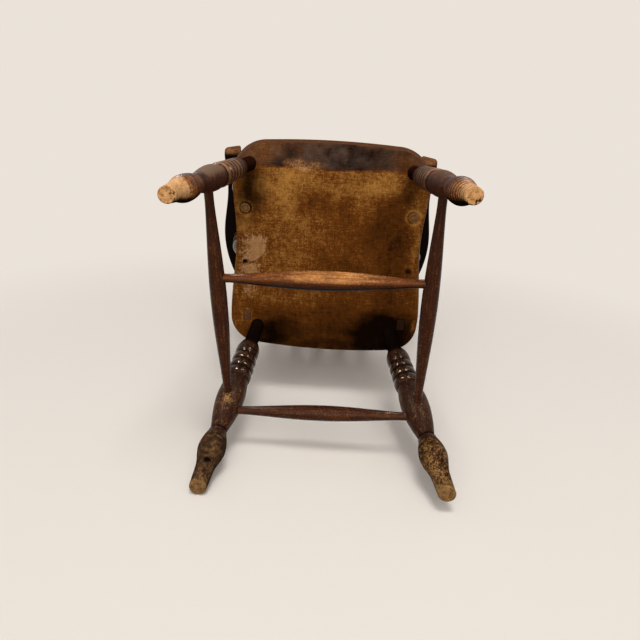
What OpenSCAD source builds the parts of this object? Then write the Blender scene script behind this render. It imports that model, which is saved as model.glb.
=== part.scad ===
// Lath back Windsor armchair, in millimetres.
// +Z is up, the sitter faces -Y, and +X is on the sitter's left.
// Heights are above the floor. Plan places are measured from the seat's reference point, which
// lies near the middle of its underside, and half widths are measured from its centre line.

/* [Seat] */
// Height of the seat's flat underside above the floor
seat_underside_z = 400; // [385:5:425]
// Thickness of the seat board at its rim
seat_thickness = 45; // [40:1:52]
// Width of the seat across its rounded front corners
seat_front_w = 398; // [392:1:415]
// Width of the seat at its waist
seat_waist_w = 381; // [374:1:390]
// Width of the seat across its rounded back corners
seat_rear_w = 405; // [394:1:425]
// Distance from the reference point to the front edge, at the underside
seat_front_reach = 227; // [220:1:236]
// Distance from the reference point to the back edge
seat_rear_reach = 214; // [208:1:225]
// How far the waist lies in front of the reference point
seat_waist_ahead = 30; // [0:1:60]
// Radius of the front corners in plan
seat_front_corner_r = 68; // [50:1:80]
// Radius of the back corners in plan
seat_rear_corner_r = 60; // [45:1:70]
// How far the front edge bows forward at its middle
seat_front_bow = 4.5; // [0:0.5:10]
// How far the back edge bows backward at its middle
seat_rear_bow = 7.5; // [0:0.5:10]
// Depth of the hollow sawn and scraped into the seat's top
seat_dish_depth = 13; // [6:1:16]
// Width of the hollow where it meets the flat of the seat
seat_dish_w = 322; // [280:2:330]
// How far the bevel under the front edge runs back
seat_bevel_run = 49; // [35:1:56]
// How far the bevel rises at the front edge
seat_bevel_rise = 16; // [8:1:19]
// How far the seat's sides flare out from the underside up to the rim
seat_flare = 6; // [4:0.5:7]
// Radius of the worn top rim
seat_rim_r = 6; // [3:0.5:7]

/* [Legs] */
// Distance from the seat's widest front line to the middle of a front socket
front_socket_in = 33.5; // [30:0.5:42]
// Distance from the seat's front edge to the middle of a front socket
front_socket_back = 43; // [37:1:56]
// Distance from the seat's widest back line to the middle of a back socket
rear_socket_in = 58; // [50:0.5:66]
// Distance from the seat's back edge to the middle of a back socket
rear_socket_ahead = 48; // [42:1:58]
// How far a front foot stands out sideways from its socket
front_leg_splay = 51.5; // [42:0.5:62]
// How far a front foot stands forward of its socket
front_leg_rake = 30; // [18:1:40]
// How far a back foot stands out sideways from its socket
rear_leg_splay = 68.5; // [58:0.5:78]
// How far a back foot stands back from its socket
rear_leg_rake = 125; // [105:1:134]
// How far the old base has twisted under the seat, in degrees
base_twist = -3.2; // [-4:0.1:4]
// How far the base has shifted sideways under the seat
base_shift = 8.3; // [-10:0.1:10]
// Diameter of the back feet where they stand
rear_foot_d = 31; // [26:1:34]
// Diameter of the back legs' lower bulb
rear_bulb_d = 51; // [46:1:54]
// Diameter of the back legs' long vase
rear_vase_d = 55; // [50:1:58]
// Diameter of the back legs' beads
rear_bead_d = 52; // [48:1:54]
// Diameter of the front feet, which are worn thin
front_foot_d = 27; // [24:1:30]
// Diameter of the front legs' lower bulb
front_bulb_d = 44; // [40:1:48]
// Diameter of the front legs' long vase
front_vase_d = 46; // [43:1:50]
// Diameter of the front legs' beads
front_bead_d = 45; // [41:0.5:47]
// Diameter of the neck between bulb and vase
leg_neck_d = 30; // [26:0.5:32]
// Diameter of the legs' top, which is also the tenon in the seat
leg_top_d = 28; // [24:0.5:30]
// Length of each leg's tenon inside the seat
leg_tenon_len = 30; // [22:1:33]
// How much length the front feet have lost by wear
front_foot_wear = 8; // [0:1:12]
// Length of the plain foot below the bulb of a back leg
rear_foot_len = 36; // [28:1:42]
// Length of the plain foot below the bulb of a front leg before its wear
front_foot_len = 28; // [20:1:34]
// How much the foot's radius grows up to the bulb
foot_flare = 1.3; // [0:0.1:2]
// Distance along a back leg from the foot to the widest part of the bulb
rear_bulb_at = 82; // [76:1:88]
// Distance along a front leg from the unworn foot to the widest part of the bulb
front_bulb_at = 72; // [66:1:80]
// Distance from the unworn foot to the neck
neck_at = 125; // [118:1:130]
// Distance from the foot of a back leg to the widest part of its vase
rear_vase_at = 208; // [190:1:212]
// Distance from the unworn foot of a front leg to the widest part of its vase
front_vase_at = 192; // [176:1:198]
// Distance from the foot of a back leg to the top end of its vase
rear_vase_end_at = 257; // [250:1:262]
// Distance from the unworn foot of a front leg to the top end of its vase
front_vase_end_at = 224; // [216:1:232]
// How far the vase draws in below the groove of the lowest bead
vase_end_drop = 1.5; // [0.5:0.1:3]
// Number of broad beads on a back leg
rear_bead_count = 3; // [2:1:3]
// Width of one of them
rear_bead_w = 21; // [16:0.5:22]
// Number of beads on a front leg
front_bead_count = 5; // [3:1:5]
// Width of one of them
front_bead_w = 17.5; // [12:0.5:18]
// Depth of the grooves between the beads
bead_groove = 2.2; // [1:0.1:3]
// How much the radius of the beads falls from one to the next
bead_taper = 0.4; // [0:0.1:0.6]
// Length of the rounded shoulder above the beads
shoulder_len = 50; // [40:1:54]
// Share of the shoulder's length over which it swells out
shoulder_swell = 0.3; // [0.1:0.05:0.4]

/* [Stretchers] */
// Height of the side stretchers on the front legs
side_stretcher_front_z = 165; // [150:1:185]
// Height of the side stretchers on the back legs
side_stretcher_rear_z = 185; // [165:1:195]
// Height of the back stretcher
back_stretcher_z = 167; // [155:1:185]
// Share of the side stretcher's length at which the cross stretcher meets it
cross_stretcher_share = 0.403; // [0.3:0.001:0.6]
// Diameter of every stretcher at its ends, and of its tenons
stretcher_end_d = 16; // [13:0.5:17]
// Diameter of the side stretchers at their middle
side_stretcher_d = 30; // [26:1:34]
// Diameter of the cross stretcher at its middle
cross_stretcher_d = 36; // [28:1:38]
// Diameter of the back stretcher at its middle
back_stretcher_d = 30; // [24:1:34]
// How far short of a leg's axis the stretcher tenons stop
leg_tenon_stop = 10; // [9:0.5:13]
// How far short of a side stretcher's axis the cross stretcher's tenons stop
cross_tenon_stop = 2; // [1:0.5:5]
// Length of the plain neck where a stretcher leaves what holds it
stretcher_neck = 10; // [4:1:20]

/* [Arms] */
// Height of the arms' flat underside above the seat
arm_rise = 195; // [175:5:215]
// Thickness of the arms
arm_thickness = 27; // [24:1:32]
// How far the front ends of the arms stop short of the seat's front edge
arm_front_short = 49; // [40:1:58]
// Width of the arms at the front end
arm_front_w = 37; // [32:1:44]
// Width of the arms at their narrow waist
arm_waist_w = 40; // [36:1:44]
// Width of the arms at their broad belly
arm_belly_w = 58; // [50:1:64]
// Width of the arms where they meet the back posts
arm_rear_w = 23; // [20:1:24]
// How far the front ends' outer edges lie outside the seat's waist
arm_front_over = 60.5; // [54:0.5:64]
// How far the waists' outer edges lie outside the seat's waist
arm_waist_over = 52; // [45.5:0.5:57]
// How far the bellies' outer edges lie outside the seat's waist
arm_belly_over = 61; // [55.5:0.5:67]
// How far the waists lie ahead of the reference point
arm_waist_ahead = 80; // [65:1:95]
// How far the bellies lie behind the reference point
arm_belly_behind = 25; // [15:1:35]
// Radius of the rounding under the arms' front ends
arm_nose_r = 19; // [12:1:22]
// Radius of the worn edge on top of the arms' front ends
arm_edge_r = 6; // [3:1:8]
// Radius of the arms' front corners, seen from above
arm_corner_r = 6; // [3:1:9]
// How far the front ends are turned outwards, in degrees
arm_end_turn = 11; // [0:1:15]
// Diameter of the tenon that joins an arm to its back post
arm_tenon_d = 13; // [11:0.5:14]
// Length of that tenon
arm_tenon_len = 19; // [15:1:20]
// Length of the pegs that pin the arms' tenons
arm_peg_len = 17; // [15:1:18]
// Sideways lean of the old chair's arms and back
upper_lean = -12; // [-15:0.5:15]

/* [Arm supports] */
// Distance from the seat's edge to the front supports' middle, at the underside
support_edge = 22.5; // [21:0.5:26]
// How far the front supports stand ahead of the reference point at the underside
support_foot_ahead = 94; // [80:1:105]
// Distance from the arms' outer edge to the front supports' middle
support_arm_edge = 25; // [22:0.5:27]
// How far the front supports meet the arms ahead of the reference point
support_head_ahead = 138; // [125:1:150]
// Diameter of the supports' tenons, which come through the seat
support_tenon_d = 19.5; // [16:0.5:20]
// Diameter of the supports' vase
support_vase_d = 37; // [32:1:42]
// Distance from the seat's edge to the rear spindles' middle, at the underside
spindle_edge = 20.5; // [19:0.5:25]
// How far the rear spindles stand behind the reference point at the underside
spindle_foot_behind = 21; // [10:1:35]
// Distance from the arms' outer edge to the rear spindles' middle
spindle_arm_edge = 31; // [26:0.5:34]
// How far the rear spindles meet the arms behind the reference point
spindle_head_behind = 32; // [20:1:45]
// Diameter of the holes for the rear spindles, which are open below
spindle_hole_d = 10.5; // [9:0.5:11]
// Diameter of the rear spindles' vase
spindle_vase_d = 35; // [28:1:38]
// How far the rear spindles' tenons stop above the seat's underside
spindle_tenon_short = 14; // [6:1:18]
// Diameter of the tenons at the heads of supports and spindles
head_tenon_d = 14; // [11:0.5:16]
// Step from those tenons out to the thin neck beside the beads
head_shoulder = 2; // [1:0.5:3]
// How many beads a support or a spindle has
upper_bead_count = 3; // [1:1:3]
// How far those tenons go up into the arms
head_tenon_len = 17; // [12:1:20]
// Length of the plain neck of supports and spindles under the arms
head_neck = 8; // [6:1:12]
// How far up its axis a front support's vase starts
support_vase_from = 64; // [60:1:70]
// How far up its axis a front support is widest
support_vase_at = 112; // [104:1:124]
// How far up its axis a front support's beads start
support_beads_from = 168; // [156:1:176]
// Width of one bead on the front supports
support_bead_w = 11; // [9:0.5:12]
// Height of the front supports' beads
support_bead_h = 5.5; // [3:0.5:6]
// How far up its axis a rear spindle's plain foot ends
spindle_foot_len = 58; // [56:1:62]
// How far up its axis a rear spindle's vase starts
spindle_vase_from = 78; // [70:1:90]
// How far up its axis a rear spindle is widest
spindle_vase_at = 128; // [116:1:136]
// How far up its axis a rear spindle's beads start
spindle_beads_from = 176; // [166:1:184]
// Width of one bead on the rear spindles
spindle_bead_w = 9; // [7:0.5:10]
// Height of the rear spindles' beads
spindle_bead_h = 4.5; // [2:0.5:5]

/* [Back] */
// Distance from the seat's edge to the back posts' middle, at the underside
post_edge = 34.5; // [32:0.5:40]
// Distance from the seat's back edge to the back posts' middle, at the underside
post_back_edge = 71; // [66:1:76]
// Width of the back posts at the seat
post_w = 25; // [22:1:28]
// Depth of the back posts at the seat
post_d = 33; // [29:1:36]
// Width of the back posts under the crest rail
post_top_w = 21; // [18:1:24]
// Depth of the back posts under the crest rail
post_top_d = 20; // [18:1:22]
// Width of the post tenons that come through the seat
post_tenon_w = 16; // [13:1:18]
// Depth of the post tenons that come through the seat
post_tenon_d = 24; // [20:1:26]
// Backward slope of the posts where they leave the seat, in degrees
post_slope = 11; // [8:0.5:13]
// How far the bent posts bow back over their height
post_bend = 38; // [20:1:50]
// Outward slope of the posts, in degrees
post_splay = 3.7; // [2:0.1:4.5]
// Height of the crest rail's lower edge above the seat
crest_rise = 545; // [515:5:565]
// Number of bent laths in the back
lath_count = 5; // [5:1:5]
// Width of each lath at the seat
lath_w = 32; // [26:1:36]
// Width of each lath at the crest rail
lath_top_w = 38; // [30:1:42]
// Thickness of the laths
lath_t = 9; // [8:0.5:11]
// Distance from the middle of an outer lath to the middle of the post beside it, at the seat
lath_side_gap = 63; // [58:1:74]
// The same distance at the crest rail
lath_top_side_gap = 82; // [79:1:92]
// How far the middle lath stands behind the line of the posts, at the seat
lath_row_bow = 34; // [24:1:38]
// Depth of the blind mortises for the laths
lath_tenon_len = 21; // [14:1:24]
// Shoulder on each edge of the laths' tenons
lath_shoulder = 3; // [1:0.5:5]
// Shoulder on each face of the laths' tenons
lath_cheek = 1; // [0.5:0.1:1.5]
// Width of the post tenons in the crest rail
post_head_w = 15; // [12:1:17]
// Depth of the post tenons in the crest rail
post_head_d = 13; // [10:1:15]
// Length of the post tenons in the crest rail
post_head_len = 30; // [24:1:34]

/* [Crest rail] */
// How far the crest rail runs out past the middle of each post
crest_over = 32; // [28:1:42]
// Height of the crest rail at its middle
crest_h = 88; // [76:1:100]
// Thickness of the crest rail
crest_t = 25; // [24:1:30]
// How far the middle of the bent rail lies behind its ends
crest_sag = 34; // [20:1:40]
// Share of its height that the rail loses towards its ends
crest_arch = 0.2; // [0:0.01:0.3]
// How far the rail's lower corners are rounded up
crest_corner = 10; // [4:1:14]
// Diameter of the pegs that pin the posts in the rail and the arms in the posts
peg_d = 6; // [5:0.5:7]
// Length of the pegs in the crest rail
crest_peg_len = 20; // [17:1:21]

/* [Fits] */
// Gap between a tenon and its mortise, on each side
fit = 0.15; // [0.1:0.05:0.25]

/* [Hidden] */
$fn = 64;

// Side signs: the chair's left, as its sitter has it, is +X
LEFT = 1;
RIGHT = -1;

dark_stain = "#4a2a1c";
bare_wood = "#8a5a28";
worn_wood = "#c09060";

seat_top_z = seat_underside_z + seat_thickness;
arm_underside_z = seat_top_z + arm_rise;
arm_top_z = arm_underside_z + arm_thickness;
crest_z = seat_top_z + crest_rise;
arm_mid_z = (arm_underside_z + arm_top_z) / 2;
rise_to_crest = crest_z - seat_top_z;
rise_to_arm = arm_mid_z - seat_top_z;
post_slope_tan = tan(post_slope);
crest_tilt = atan(post_slope_tan + 2 * post_bend / rise_to_crest);
// Steps of a smooth curve along a turning
curve_steps = 8;
// Points round the section of a rail, post, lath or arm
section_points = 16;
// How far cutting bodies run past what they cut
past = 2;
// Size of the worn arris round the seat's underside
seat_arris = 2;
// Turn of each round piece about its own axis, so that no level cut ends on its seam
seam_turn = 45;
// Length over which the arms' ends turn into their sections square to the chair
arm_turn_len = 60;
arm_waist_y = -arm_waist_ahead;
arm_front_half = seat_waist_w / 2 + arm_front_over;
arm_waist_half = seat_waist_w / 2 + arm_waist_over;
arm_belly_half = seat_waist_w / 2 + arm_belly_over;
arm_belly_y = arm_belly_behind;

// Plain helpers
function mix(a, b, s) = a + (b - a) * s;
function ease(s) = s * s * (3 - 2 * s);
function swell(a, b, s) = a + (b - a) * sin(90 * s);
function clamp01(s) = min(1, max(0, s));
function steps(n) = [for (i = [1 : n]) i / n];
function turn(p, a) = [p.x * cos(a) - p.y * sin(a), p.x * sin(a) + p.y * cos(a), p.z];
function at_height(a, b, z) = mix(a, b, (z - a.z) / (b.z - a.z));

// Carries what is drawn along +Z from the origin to the line from a towards b
module along(a, b) {
    v = b - a;
    translate(a)
        rotate([0, acos(v.z / norm(v)), atan2(v.y, v.x)])
            rotate([0, 0, seam_turn])
                children();
}

// A round rod on the line from a to b, between two distances from a
module rod(a, b, from, to, d) {
    along(a, b) translate([0, 0, from]) cylinder(d = d, h = to - from);
}

// A turning on the line from a to b, from its profile of [radius, distance from a]
module turning(a, b, profile) {
    first = profile[0];
    last = profile[len(profile) - 1];
    along(a, b)
        rotate_extrude()
            polygon(concat([[0, first[1]]], profile, [[0, last[1]]]));
}

// Skin over rings with the same number of points, each of which runs anticlockwise
// when it is seen from the end of the last ring
module loft(rings) {
    n = len(rings[0]);
    last = len(rings) - 1;
    sides = [
        for (r = [0 : last - 1], i = [0 : n - 1])
            let (j = (i + 1) % n)
                each [
                    [r * n + i, (r + 1) * n + j, r * n + j],
                    [r * n + i, (r + 1) * n + i, (r + 1) * n + j]
                ]
    ];
    bottom = [for (i = [0 : n - 1]) i];
    top = [for (i = [n - 1 : -1 : 0]) last * n + i];
    polyhedron(points = [for (r = rings) each r], faces = concat([bottom], sides, [top]));
}

// Points of a rounded rectangle round the origin, from half sizes of 1
function rounded(power) = [
    for (i = [0 : section_points - 1])
        let (a = 360 * i / section_points)
            [
                sign(cos(a)) * pow(abs(cos(a)), 2 / power),
                sign(sin(a)) * pow(abs(sin(a)), 2 / power)
            ]
];
square_corners = [[1, -1], [1, 1], [-1, 1], [-1, -1]];

// Section of an upright piece: w across X, and d along a thickness direction that tilts back
function upright_ring(c, w, d, tilt, shape) = [
    for (q = shape)
        c + [q.x * w / 2, q.y * d / 2 * cos(tilt), -q.y * d / 2 * sin(tilt)]
];

// A tenon, or the hole for one, with square corners, between two section middles
module tenon_block(a, b, w, d, tilt = 0) {
    loft([upright_ring(a, w, d, tilt, square_corners), upright_ring(b, w, d, tilt, square_corners)]);
}

// Sideways lean at a height: none at the seat, all of it from the arms up
function lean(z) = upper_lean * sin(90 * clamp01((z - seat_top_z) / rise_to_arm));

// Seat outline
front_corner = [
    seat_front_w / 2 - seat_front_corner_r,
    -seat_front_reach + seat_front_bow + seat_front_corner_r
];
rear_corner = [
    seat_rear_w / 2 - seat_rear_corner_r,
    seat_rear_reach - seat_rear_bow - seat_rear_corner_r
];

// Half width of the seat between its corners, at a place y
function side_half(y) =
    y < -seat_waist_ahead
        ? mix(seat_waist_w, seat_front_w, ease((y + seat_waist_ahead) / (front_corner.y + seat_waist_ahead))) / 2
        : mix(seat_waist_w, seat_rear_w, ease((y + seat_waist_ahead) / (rear_corner.y + seat_waist_ahead))) / 2;

// Half of the outline, from the middle of the front edge round to the middle of the back
half_outline = concat(
    [
        for (s = [0 : 4])
            [front_corner.x * s / 5, -seat_front_reach + seat_front_bow * pow(s / 5, 2)]
    ],
    [
        for (s = [0 : 7])
            front_corner + seat_front_corner_r * [sin(90 * s / 8), -cos(90 * s / 8)]
    ],
    [
        for (s = [0 : 11])
            let (y = mix(front_corner.y, rear_corner.y, s / 12)) [side_half(y), y]
    ],
    [
        for (s = [0 : 7])
            rear_corner + seat_rear_corner_r * [cos(90 * s / 8), sin(90 * s / 8)]
    ],
    [
        for (s = [0 : 4])
            [rear_corner.x * (1 - s / 5), seat_rear_reach - seat_rear_bow * pow(1 - s / 5, 2)]
    ],
    [[0, seat_rear_reach]]
);
seat_outline = concat(
    half_outline,
    [for (i = [len(half_outline) - 2 : -1 : 1]) [-half_outline[i].x, half_outline[i].y]]
);

// The outline at a height, drawn in by a distance along the normal of each point
function seat_ring(z, d) = [
    for (i = [0 : len(seat_outline) - 1])
        let (
            n = len(seat_outline),
            t = seat_outline[(i + 1) % n] - seat_outline[(i + n - 1) % n],
            u = t / norm(t)
        )
            [seat_outline[i].x - d * u.y, seat_outline[i].y + d * u.x, z]
];

// Legs and stretchers
function socket_point(side, rear) = [
    side * (rear ? seat_rear_w / 2 - rear_socket_in : seat_front_w / 2 - front_socket_in),
    rear ? seat_rear_reach - rear_socket_ahead : front_socket_back - seat_front_reach,
    seat_underside_z
];
function leg_run(side, rear) = [
    side * (rear ? rear_leg_splay : front_leg_splay),
    rear ? rear_leg_rake : -front_leg_rake,
    -seat_underside_z
];
function foot_point(side, rear) =
    turn(socket_point(side, rear) + leg_run(side, rear), base_twist) + [base_shift, 0, 0];
function leg_at(side, rear, z) = at_height(foot_point(side, rear), socket_point(side, rear), z);
function side_end(side, rear) =
    leg_at(side, rear, rear ? side_stretcher_rear_z : side_stretcher_front_z);
function back_end(side) = leg_at(side, true, back_stretcher_z);
function cross_end(side) = mix(side_end(side, false), side_end(side, true), cross_stretcher_share);

// Places of the supports and spindles at the seat's underside and at the arms' underside
function seat_place(side, y, edge) = [side * (side_half(y) - edge), y, seat_underside_z];
function arm_place(side, y, edge) = [side * (arm_outer(y) - edge) + upper_lean, y, arm_underside_z];
function support_foot(side) = seat_place(side, -support_foot_ahead, support_edge);
function support_head(side) = arm_place(side, -support_head_ahead, support_arm_edge);
function spindle_foot(side) = seat_place(side, spindle_foot_behind, spindle_edge);
function spindle_head(side) = arm_place(side, spindle_head_behind, spindle_arm_edge);

// Back posts
post_foot_y = seat_rear_reach - post_back_edge;
function post_y(z) =
    post_foot_y
    + (z - seat_underside_z) * post_slope_tan
    + post_bend * pow(max(0, z - seat_top_z) / rise_to_crest, 2);
post_foot_half = side_half(post_foot_y) - post_edge;
function post_half(z) = post_foot_half + (z - seat_underside_z) * tan(post_splay);
function post_centre(side, z) = [side * post_half(z) + lean(z), post_y(z), z];
function post_share(z) = clamp01((z - seat_top_z) / rise_to_crest);
function post_depth(z) = mix(post_d, post_top_d, post_share(z));
function post_tilt(z) = crest_tilt * post_share(z);
function post_front_y(z) = post_y(z) - post_depth(z) / 2 / cos(post_tilt(z));

// Crest rail: how far its centre line lies behind the posts' line at a half width x
crest_half = post_half(crest_z) + crest_over;
function crest_behind(x) =
    crest_sag * (pow(post_half(crest_z) / crest_half, 2) - pow(x / crest_half, 2));
function crest_point(x) = [x + upper_lean, post_y(crest_z) + crest_behind(x), crest_z];
crest_up = [0, sin(crest_tilt), cos(crest_tilt)];
crest_back = [0, cos(crest_tilt), -sin(crest_tilt)];
// Height of its lower and upper edges, at a share u of its half width
function crest_low(u) = crest_corner * pow(abs(u), 20);
function crest_high(u) = crest_h * (1 - crest_arch * u * u) * pow(1 - pow(abs(u), 14), 0.35);
function crest_section_point(u, q) =
    crest_point(u * crest_half)
    + q.x * crest_t / 2 * crest_back
    + mix(crest_low(u), crest_high(u), (q.y + 1) / 2) * crest_up;

// Laths
function lath_offset(i) = i - (lath_count - 1) / 2;
lath_pitch = (post_half(seat_top_z) - lath_side_gap) / lath_offset(lath_count - 1);
lath_top_pitch = (post_half(crest_z) - lath_top_side_gap) / lath_offset(lath_count - 1);
function lath_behind(x) = lath_row_bow * (1 - pow(x / post_half(seat_top_z), 2));
function lath_centre(i, z) =
    let (
        k = lath_offset(i),
        s = post_share(z),
        low = lath_behind(k * lath_pitch),
        high = crest_behind(k * lath_top_pitch)
    )
        [k * mix(lath_pitch, lath_top_pitch, s) + lean(z), post_y(z) + mix(low, high, s), z];

// The middle of the chair's outer box, which stands over the origin. The box reaches from one
// arm's belly to the back foot on the other side, and from a front bulb to the crest rail.
foot_lean_x = (socket_point(LEFT, true).x - foot_point(LEFT, true).x) / seat_underside_z;
box_left = foot_point(LEFT, true).x + rear_foot_d / 2 * norm([1, foot_lean_x]);
box_right = upper_lean - arm_belly_half;
box_front = leg_at(LEFT, false, front_bulb_at - front_foot_wear).y - front_bulb_d / 2;
box_back = max([for (q = rounded(5)) crest_section_point(0, q).y]);
box_middle_x = (box_left + box_right) / 2;
box_middle_y = (box_front + box_back) / 2;
module place() {
    translate([-box_middle_x, -box_middle_y, 0]) children();
}

// Seat
module seat() {
    dish_r = (pow(seat_dish_w / 2, 2) + pow(seat_dish_depth, 2)) / (2 * seat_dish_depth);
    bevel_angle = atan(seat_bevel_rise / seat_bevel_run);
    place() color(bare_wood) difference() {
        loft([
            seat_ring(seat_underside_z, seat_arris),
            seat_ring(seat_underside_z + seat_arris, 0),
            seat_ring(seat_top_z - seat_rim_r, -seat_flare),
            seat_ring(seat_top_z - seat_rim_r * 0.3, seat_rim_r * 0.3 - seat_flare),
            seat_ring(seat_top_z, seat_rim_r - seat_flare)
        ]);
        // Hollow for the sitter
        translate([0, 0, seat_top_z - seat_dish_depth + dish_r]) sphere(r = dish_r, $fn = 360);
        // Bevel under the front edge
        translate([0, seat_bevel_run - seat_front_reach, seat_underside_z])
            rotate([-bevel_angle, 0, 0])
                translate([-seat_front_w, -3 * seat_bevel_run, -seat_thickness])
                    cube([2 * seat_front_w, 3 * seat_bevel_run, seat_thickness]);
        for (side = [LEFT, RIGHT]) {
            for (rear = [false, true]) leg_socket(side, rear);
            through_hole(support_foot(side), support_head(side), support_tenon_d + 2 * fit);
            through_hole(spindle_foot(side), spindle_head(side), spindle_hole_d);
            tenon_block(
                post_centre(side, seat_underside_z - past), post_centre(side, seat_top_z + past),
                post_tenon_w + 2 * fit, post_tenon_d + 2 * fit
            );
        }
        for (i = [0 : lath_count - 1]) lath_foot_block(i, fit);
    }
}

module leg_socket(side, rear) {
    a = foot_point(side, rear);
    b = socket_point(side, rear);
    rod(a, b, norm(b - a) - leg_top_d, norm(b - a) + leg_tenon_len + fit, leg_top_d + 2 * fit);
}

module through_hole(a, b, d) {
    rod(a, b, -2 * d, 2 * seat_thickness, d);
}

// Tenon at the foot of a lath, or its mortise if there is room round it
module lath_foot_block(i, room) {
    low = lath_centre(i, seat_top_z) - (lath_tenon_len + room) * [0, post_slope_tan, 1];
    tenon_block(
        low, lath_centre(i, seat_top_z) + past * [0, post_slope_tan, 1],
        lath_w - 2 * lath_shoulder + 2 * room, lath_t - 2 * lath_cheek + 2 * room
    );
}

// Legs
function leg_profile(len, rear) =
    let (
        wear = rear ? 0 : front_foot_wear,
        foot_r = (rear ? rear_foot_d : front_foot_d) / 2,
        bulb_r = (rear ? rear_bulb_d : front_bulb_d) / 2,
        vase_r = (rear ? rear_vase_d : front_vase_d) / 2,
        bead_r = (rear ? rear_bead_d : front_bead_d) / 2,
        neck_r = leg_neck_d / 2,
        top_r = leg_top_d / 2,
        groove_r = bead_r - bead_groove,
        vase_end_r = groove_r - vase_end_drop,
        bulb_from = (rear ? rear_foot_len : front_foot_len) - wear,
        bulb_mid = (rear ? rear_bulb_at : front_bulb_at) - wear,
        neck = neck_at - wear,
        vase_mid = (rear ? rear_vase_at : front_vase_at) - wear,
        vase_end = (rear ? rear_vase_end_at : front_vase_end_at) - wear,
        bead_count = rear ? rear_bead_count : front_bead_count,
        bead_w = rear ? rear_bead_w : front_bead_w,
        beads_to = vase_end + bead_count * bead_w,
        last_groove_r = groove_r - bead_taper * (bead_count - 1),
        shoulder_r = bead_r - bead_taper * bead_count,
        shoulder_mid = beads_to + shoulder_len * shoulder_swell
    )
        concat(
            [[foot_r, -2 * foot_r], [foot_r, 0], [foot_r + foot_flare, bulb_from]],
            [for (s = steps(curve_steps))
                [mix(foot_r + foot_flare, bulb_r, ease(s)), mix(bulb_from, bulb_mid, s)]],
            [for (s = steps(curve_steps)) [swell(neck_r, bulb_r, 1 - s), mix(bulb_mid, neck, s)]],
            [for (s = steps(curve_steps)) [swell(neck_r, vase_r, s), mix(neck, vase_mid, s)]],
            [for (s = steps(curve_steps)) [swell(vase_end_r, vase_r, 1 - s), mix(vase_mid, vase_end, s)]],
            [[groove_r, vase_end]],
            [for (k = [0 : bead_count - 1], s = steps(6))
                [mix(groove_r, bead_r, sin(180 * s)) - bead_taper * k, vase_end + bead_w * (k + s)]],
            [for (s = steps(4)) [swell(last_groove_r, shoulder_r, s), mix(beads_to, shoulder_mid, s)]],
            [for (s = steps(curve_steps))
                [swell(top_r, shoulder_r, 1 - s), mix(shoulder_mid, beads_to + shoulder_len, s)]],
            [[top_r, len + leg_tenon_len]]
        );

module leg(side, rear) {
    a = foot_point(side, rear);
    b = socket_point(side, rear);
    place() color(dark_stain) difference() {
        turning(a, b, leg_profile(norm(b - a), rear));
        // The foot is flat on the floor
        translate([a.x - rear_bulb_d, a.y - rear_bulb_d, -rear_bulb_d])
            cube([2 * rear_bulb_d, 2 * rear_bulb_d, rear_bulb_d]);
        stretcher_mortise(side_end(side, rear), side_end(side, !rear), leg_tenon_stop);
        if (rear) stretcher_mortise(back_end(side), back_end(-side), leg_tenon_stop);
    }
}

// Hole for a stretcher's end in the piece whose axis passes through a
module stretcher_mortise(a, b, stop) {
    rod(a, b, stop - fit, rear_vase_d, stretcher_end_d + 2 * fit);
}

// A stretcher that swells from round ends to its middle
function stretcher_profile(len, stop, straight, mid_d) =
    let (half = len / 2, end_r = stretcher_end_d / 2)
        concat(
            [[end_r, stop], [end_r, straight]],
            [for (s = steps(12))
                [mix(end_r, mid_d / 2, pow(sin(90 * s), 1.3)), mix(straight, half, s)]],
            [for (s = steps(12))
                [mix(end_r, mid_d / 2, pow(sin(90 * (1 - s)), 1.3)), mix(half, len - straight, s)]],
            [[end_r, len - stop]]
        );

module stretcher(a, b, stop, straight, mid_d) {
    turning(a, b, stretcher_profile(norm(b - a), stop, straight, mid_d));
}

module stretcher_side(side) {
    a = side_end(side, false);
    b = side_end(side, true);
    place() color(dark_stain) difference() {
        stretcher(a, b, leg_tenon_stop, rear_vase_d / 2 + stretcher_neck, side_stretcher_d);
        stretcher_mortise(cross_end(side), cross_end(-side), cross_tenon_stop);
    }
}

module stretcher_cross() {
    place() color(worn_wood)
        stretcher(cross_end(RIGHT), cross_end(LEFT), cross_tenon_stop,
            side_stretcher_d / 2 + stretcher_neck, cross_stretcher_d);
}

module stretcher_back() {
    place() color(dark_stain)
        stretcher(back_end(RIGHT), back_end(LEFT), leg_tenon_stop,
            rear_vase_d / 2 + stretcher_neck, back_stretcher_d);
}

// Turned arm support: a vase between rings, with its tenon through the seat
function support_profile(len) =
    let (
        foot_r = support_tenon_d / 2,
        vase_r = support_vase_d / 2,
        head_r = head_tenon_d / 2,
        neck_r = head_r + head_shoulder,
        beads_to = support_beads_from + upper_bead_count * support_bead_w
    )
        concat(
            [[foot_r, -foot_r], [foot_r, support_vase_from]],
            [for (s = steps(curve_steps))
                [swell(foot_r, vase_r, s), mix(support_vase_from, support_vase_at, s)]],
            [for (s = steps(curve_steps))
                [mix(vase_r, neck_r, ease(s)), mix(support_vase_at, support_beads_from, s)]],
            [for (k = [0 : upper_bead_count - 1], s = steps(6))
                [neck_r + (support_bead_h - k) * sin(180 * s), support_beads_from + support_bead_w * (k + s)]],
            [[head_r, mix(beads_to, len - head_neck, 0.5)], [head_r, len + head_tenon_len - fit]]
        );

module arm_support(side) {
    a = support_foot(side);
    b = support_head(side);
    place() color(dark_stain) difference() {
        turning(a, b, support_profile(norm(b - a)));
        // The tenon is cut flush under the seat
        translate([a.x - support_tenon_d, a.y - support_tenon_d, a.z - 2 * support_tenon_d])
            cube(2 * support_tenon_d);
    }
}

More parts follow.
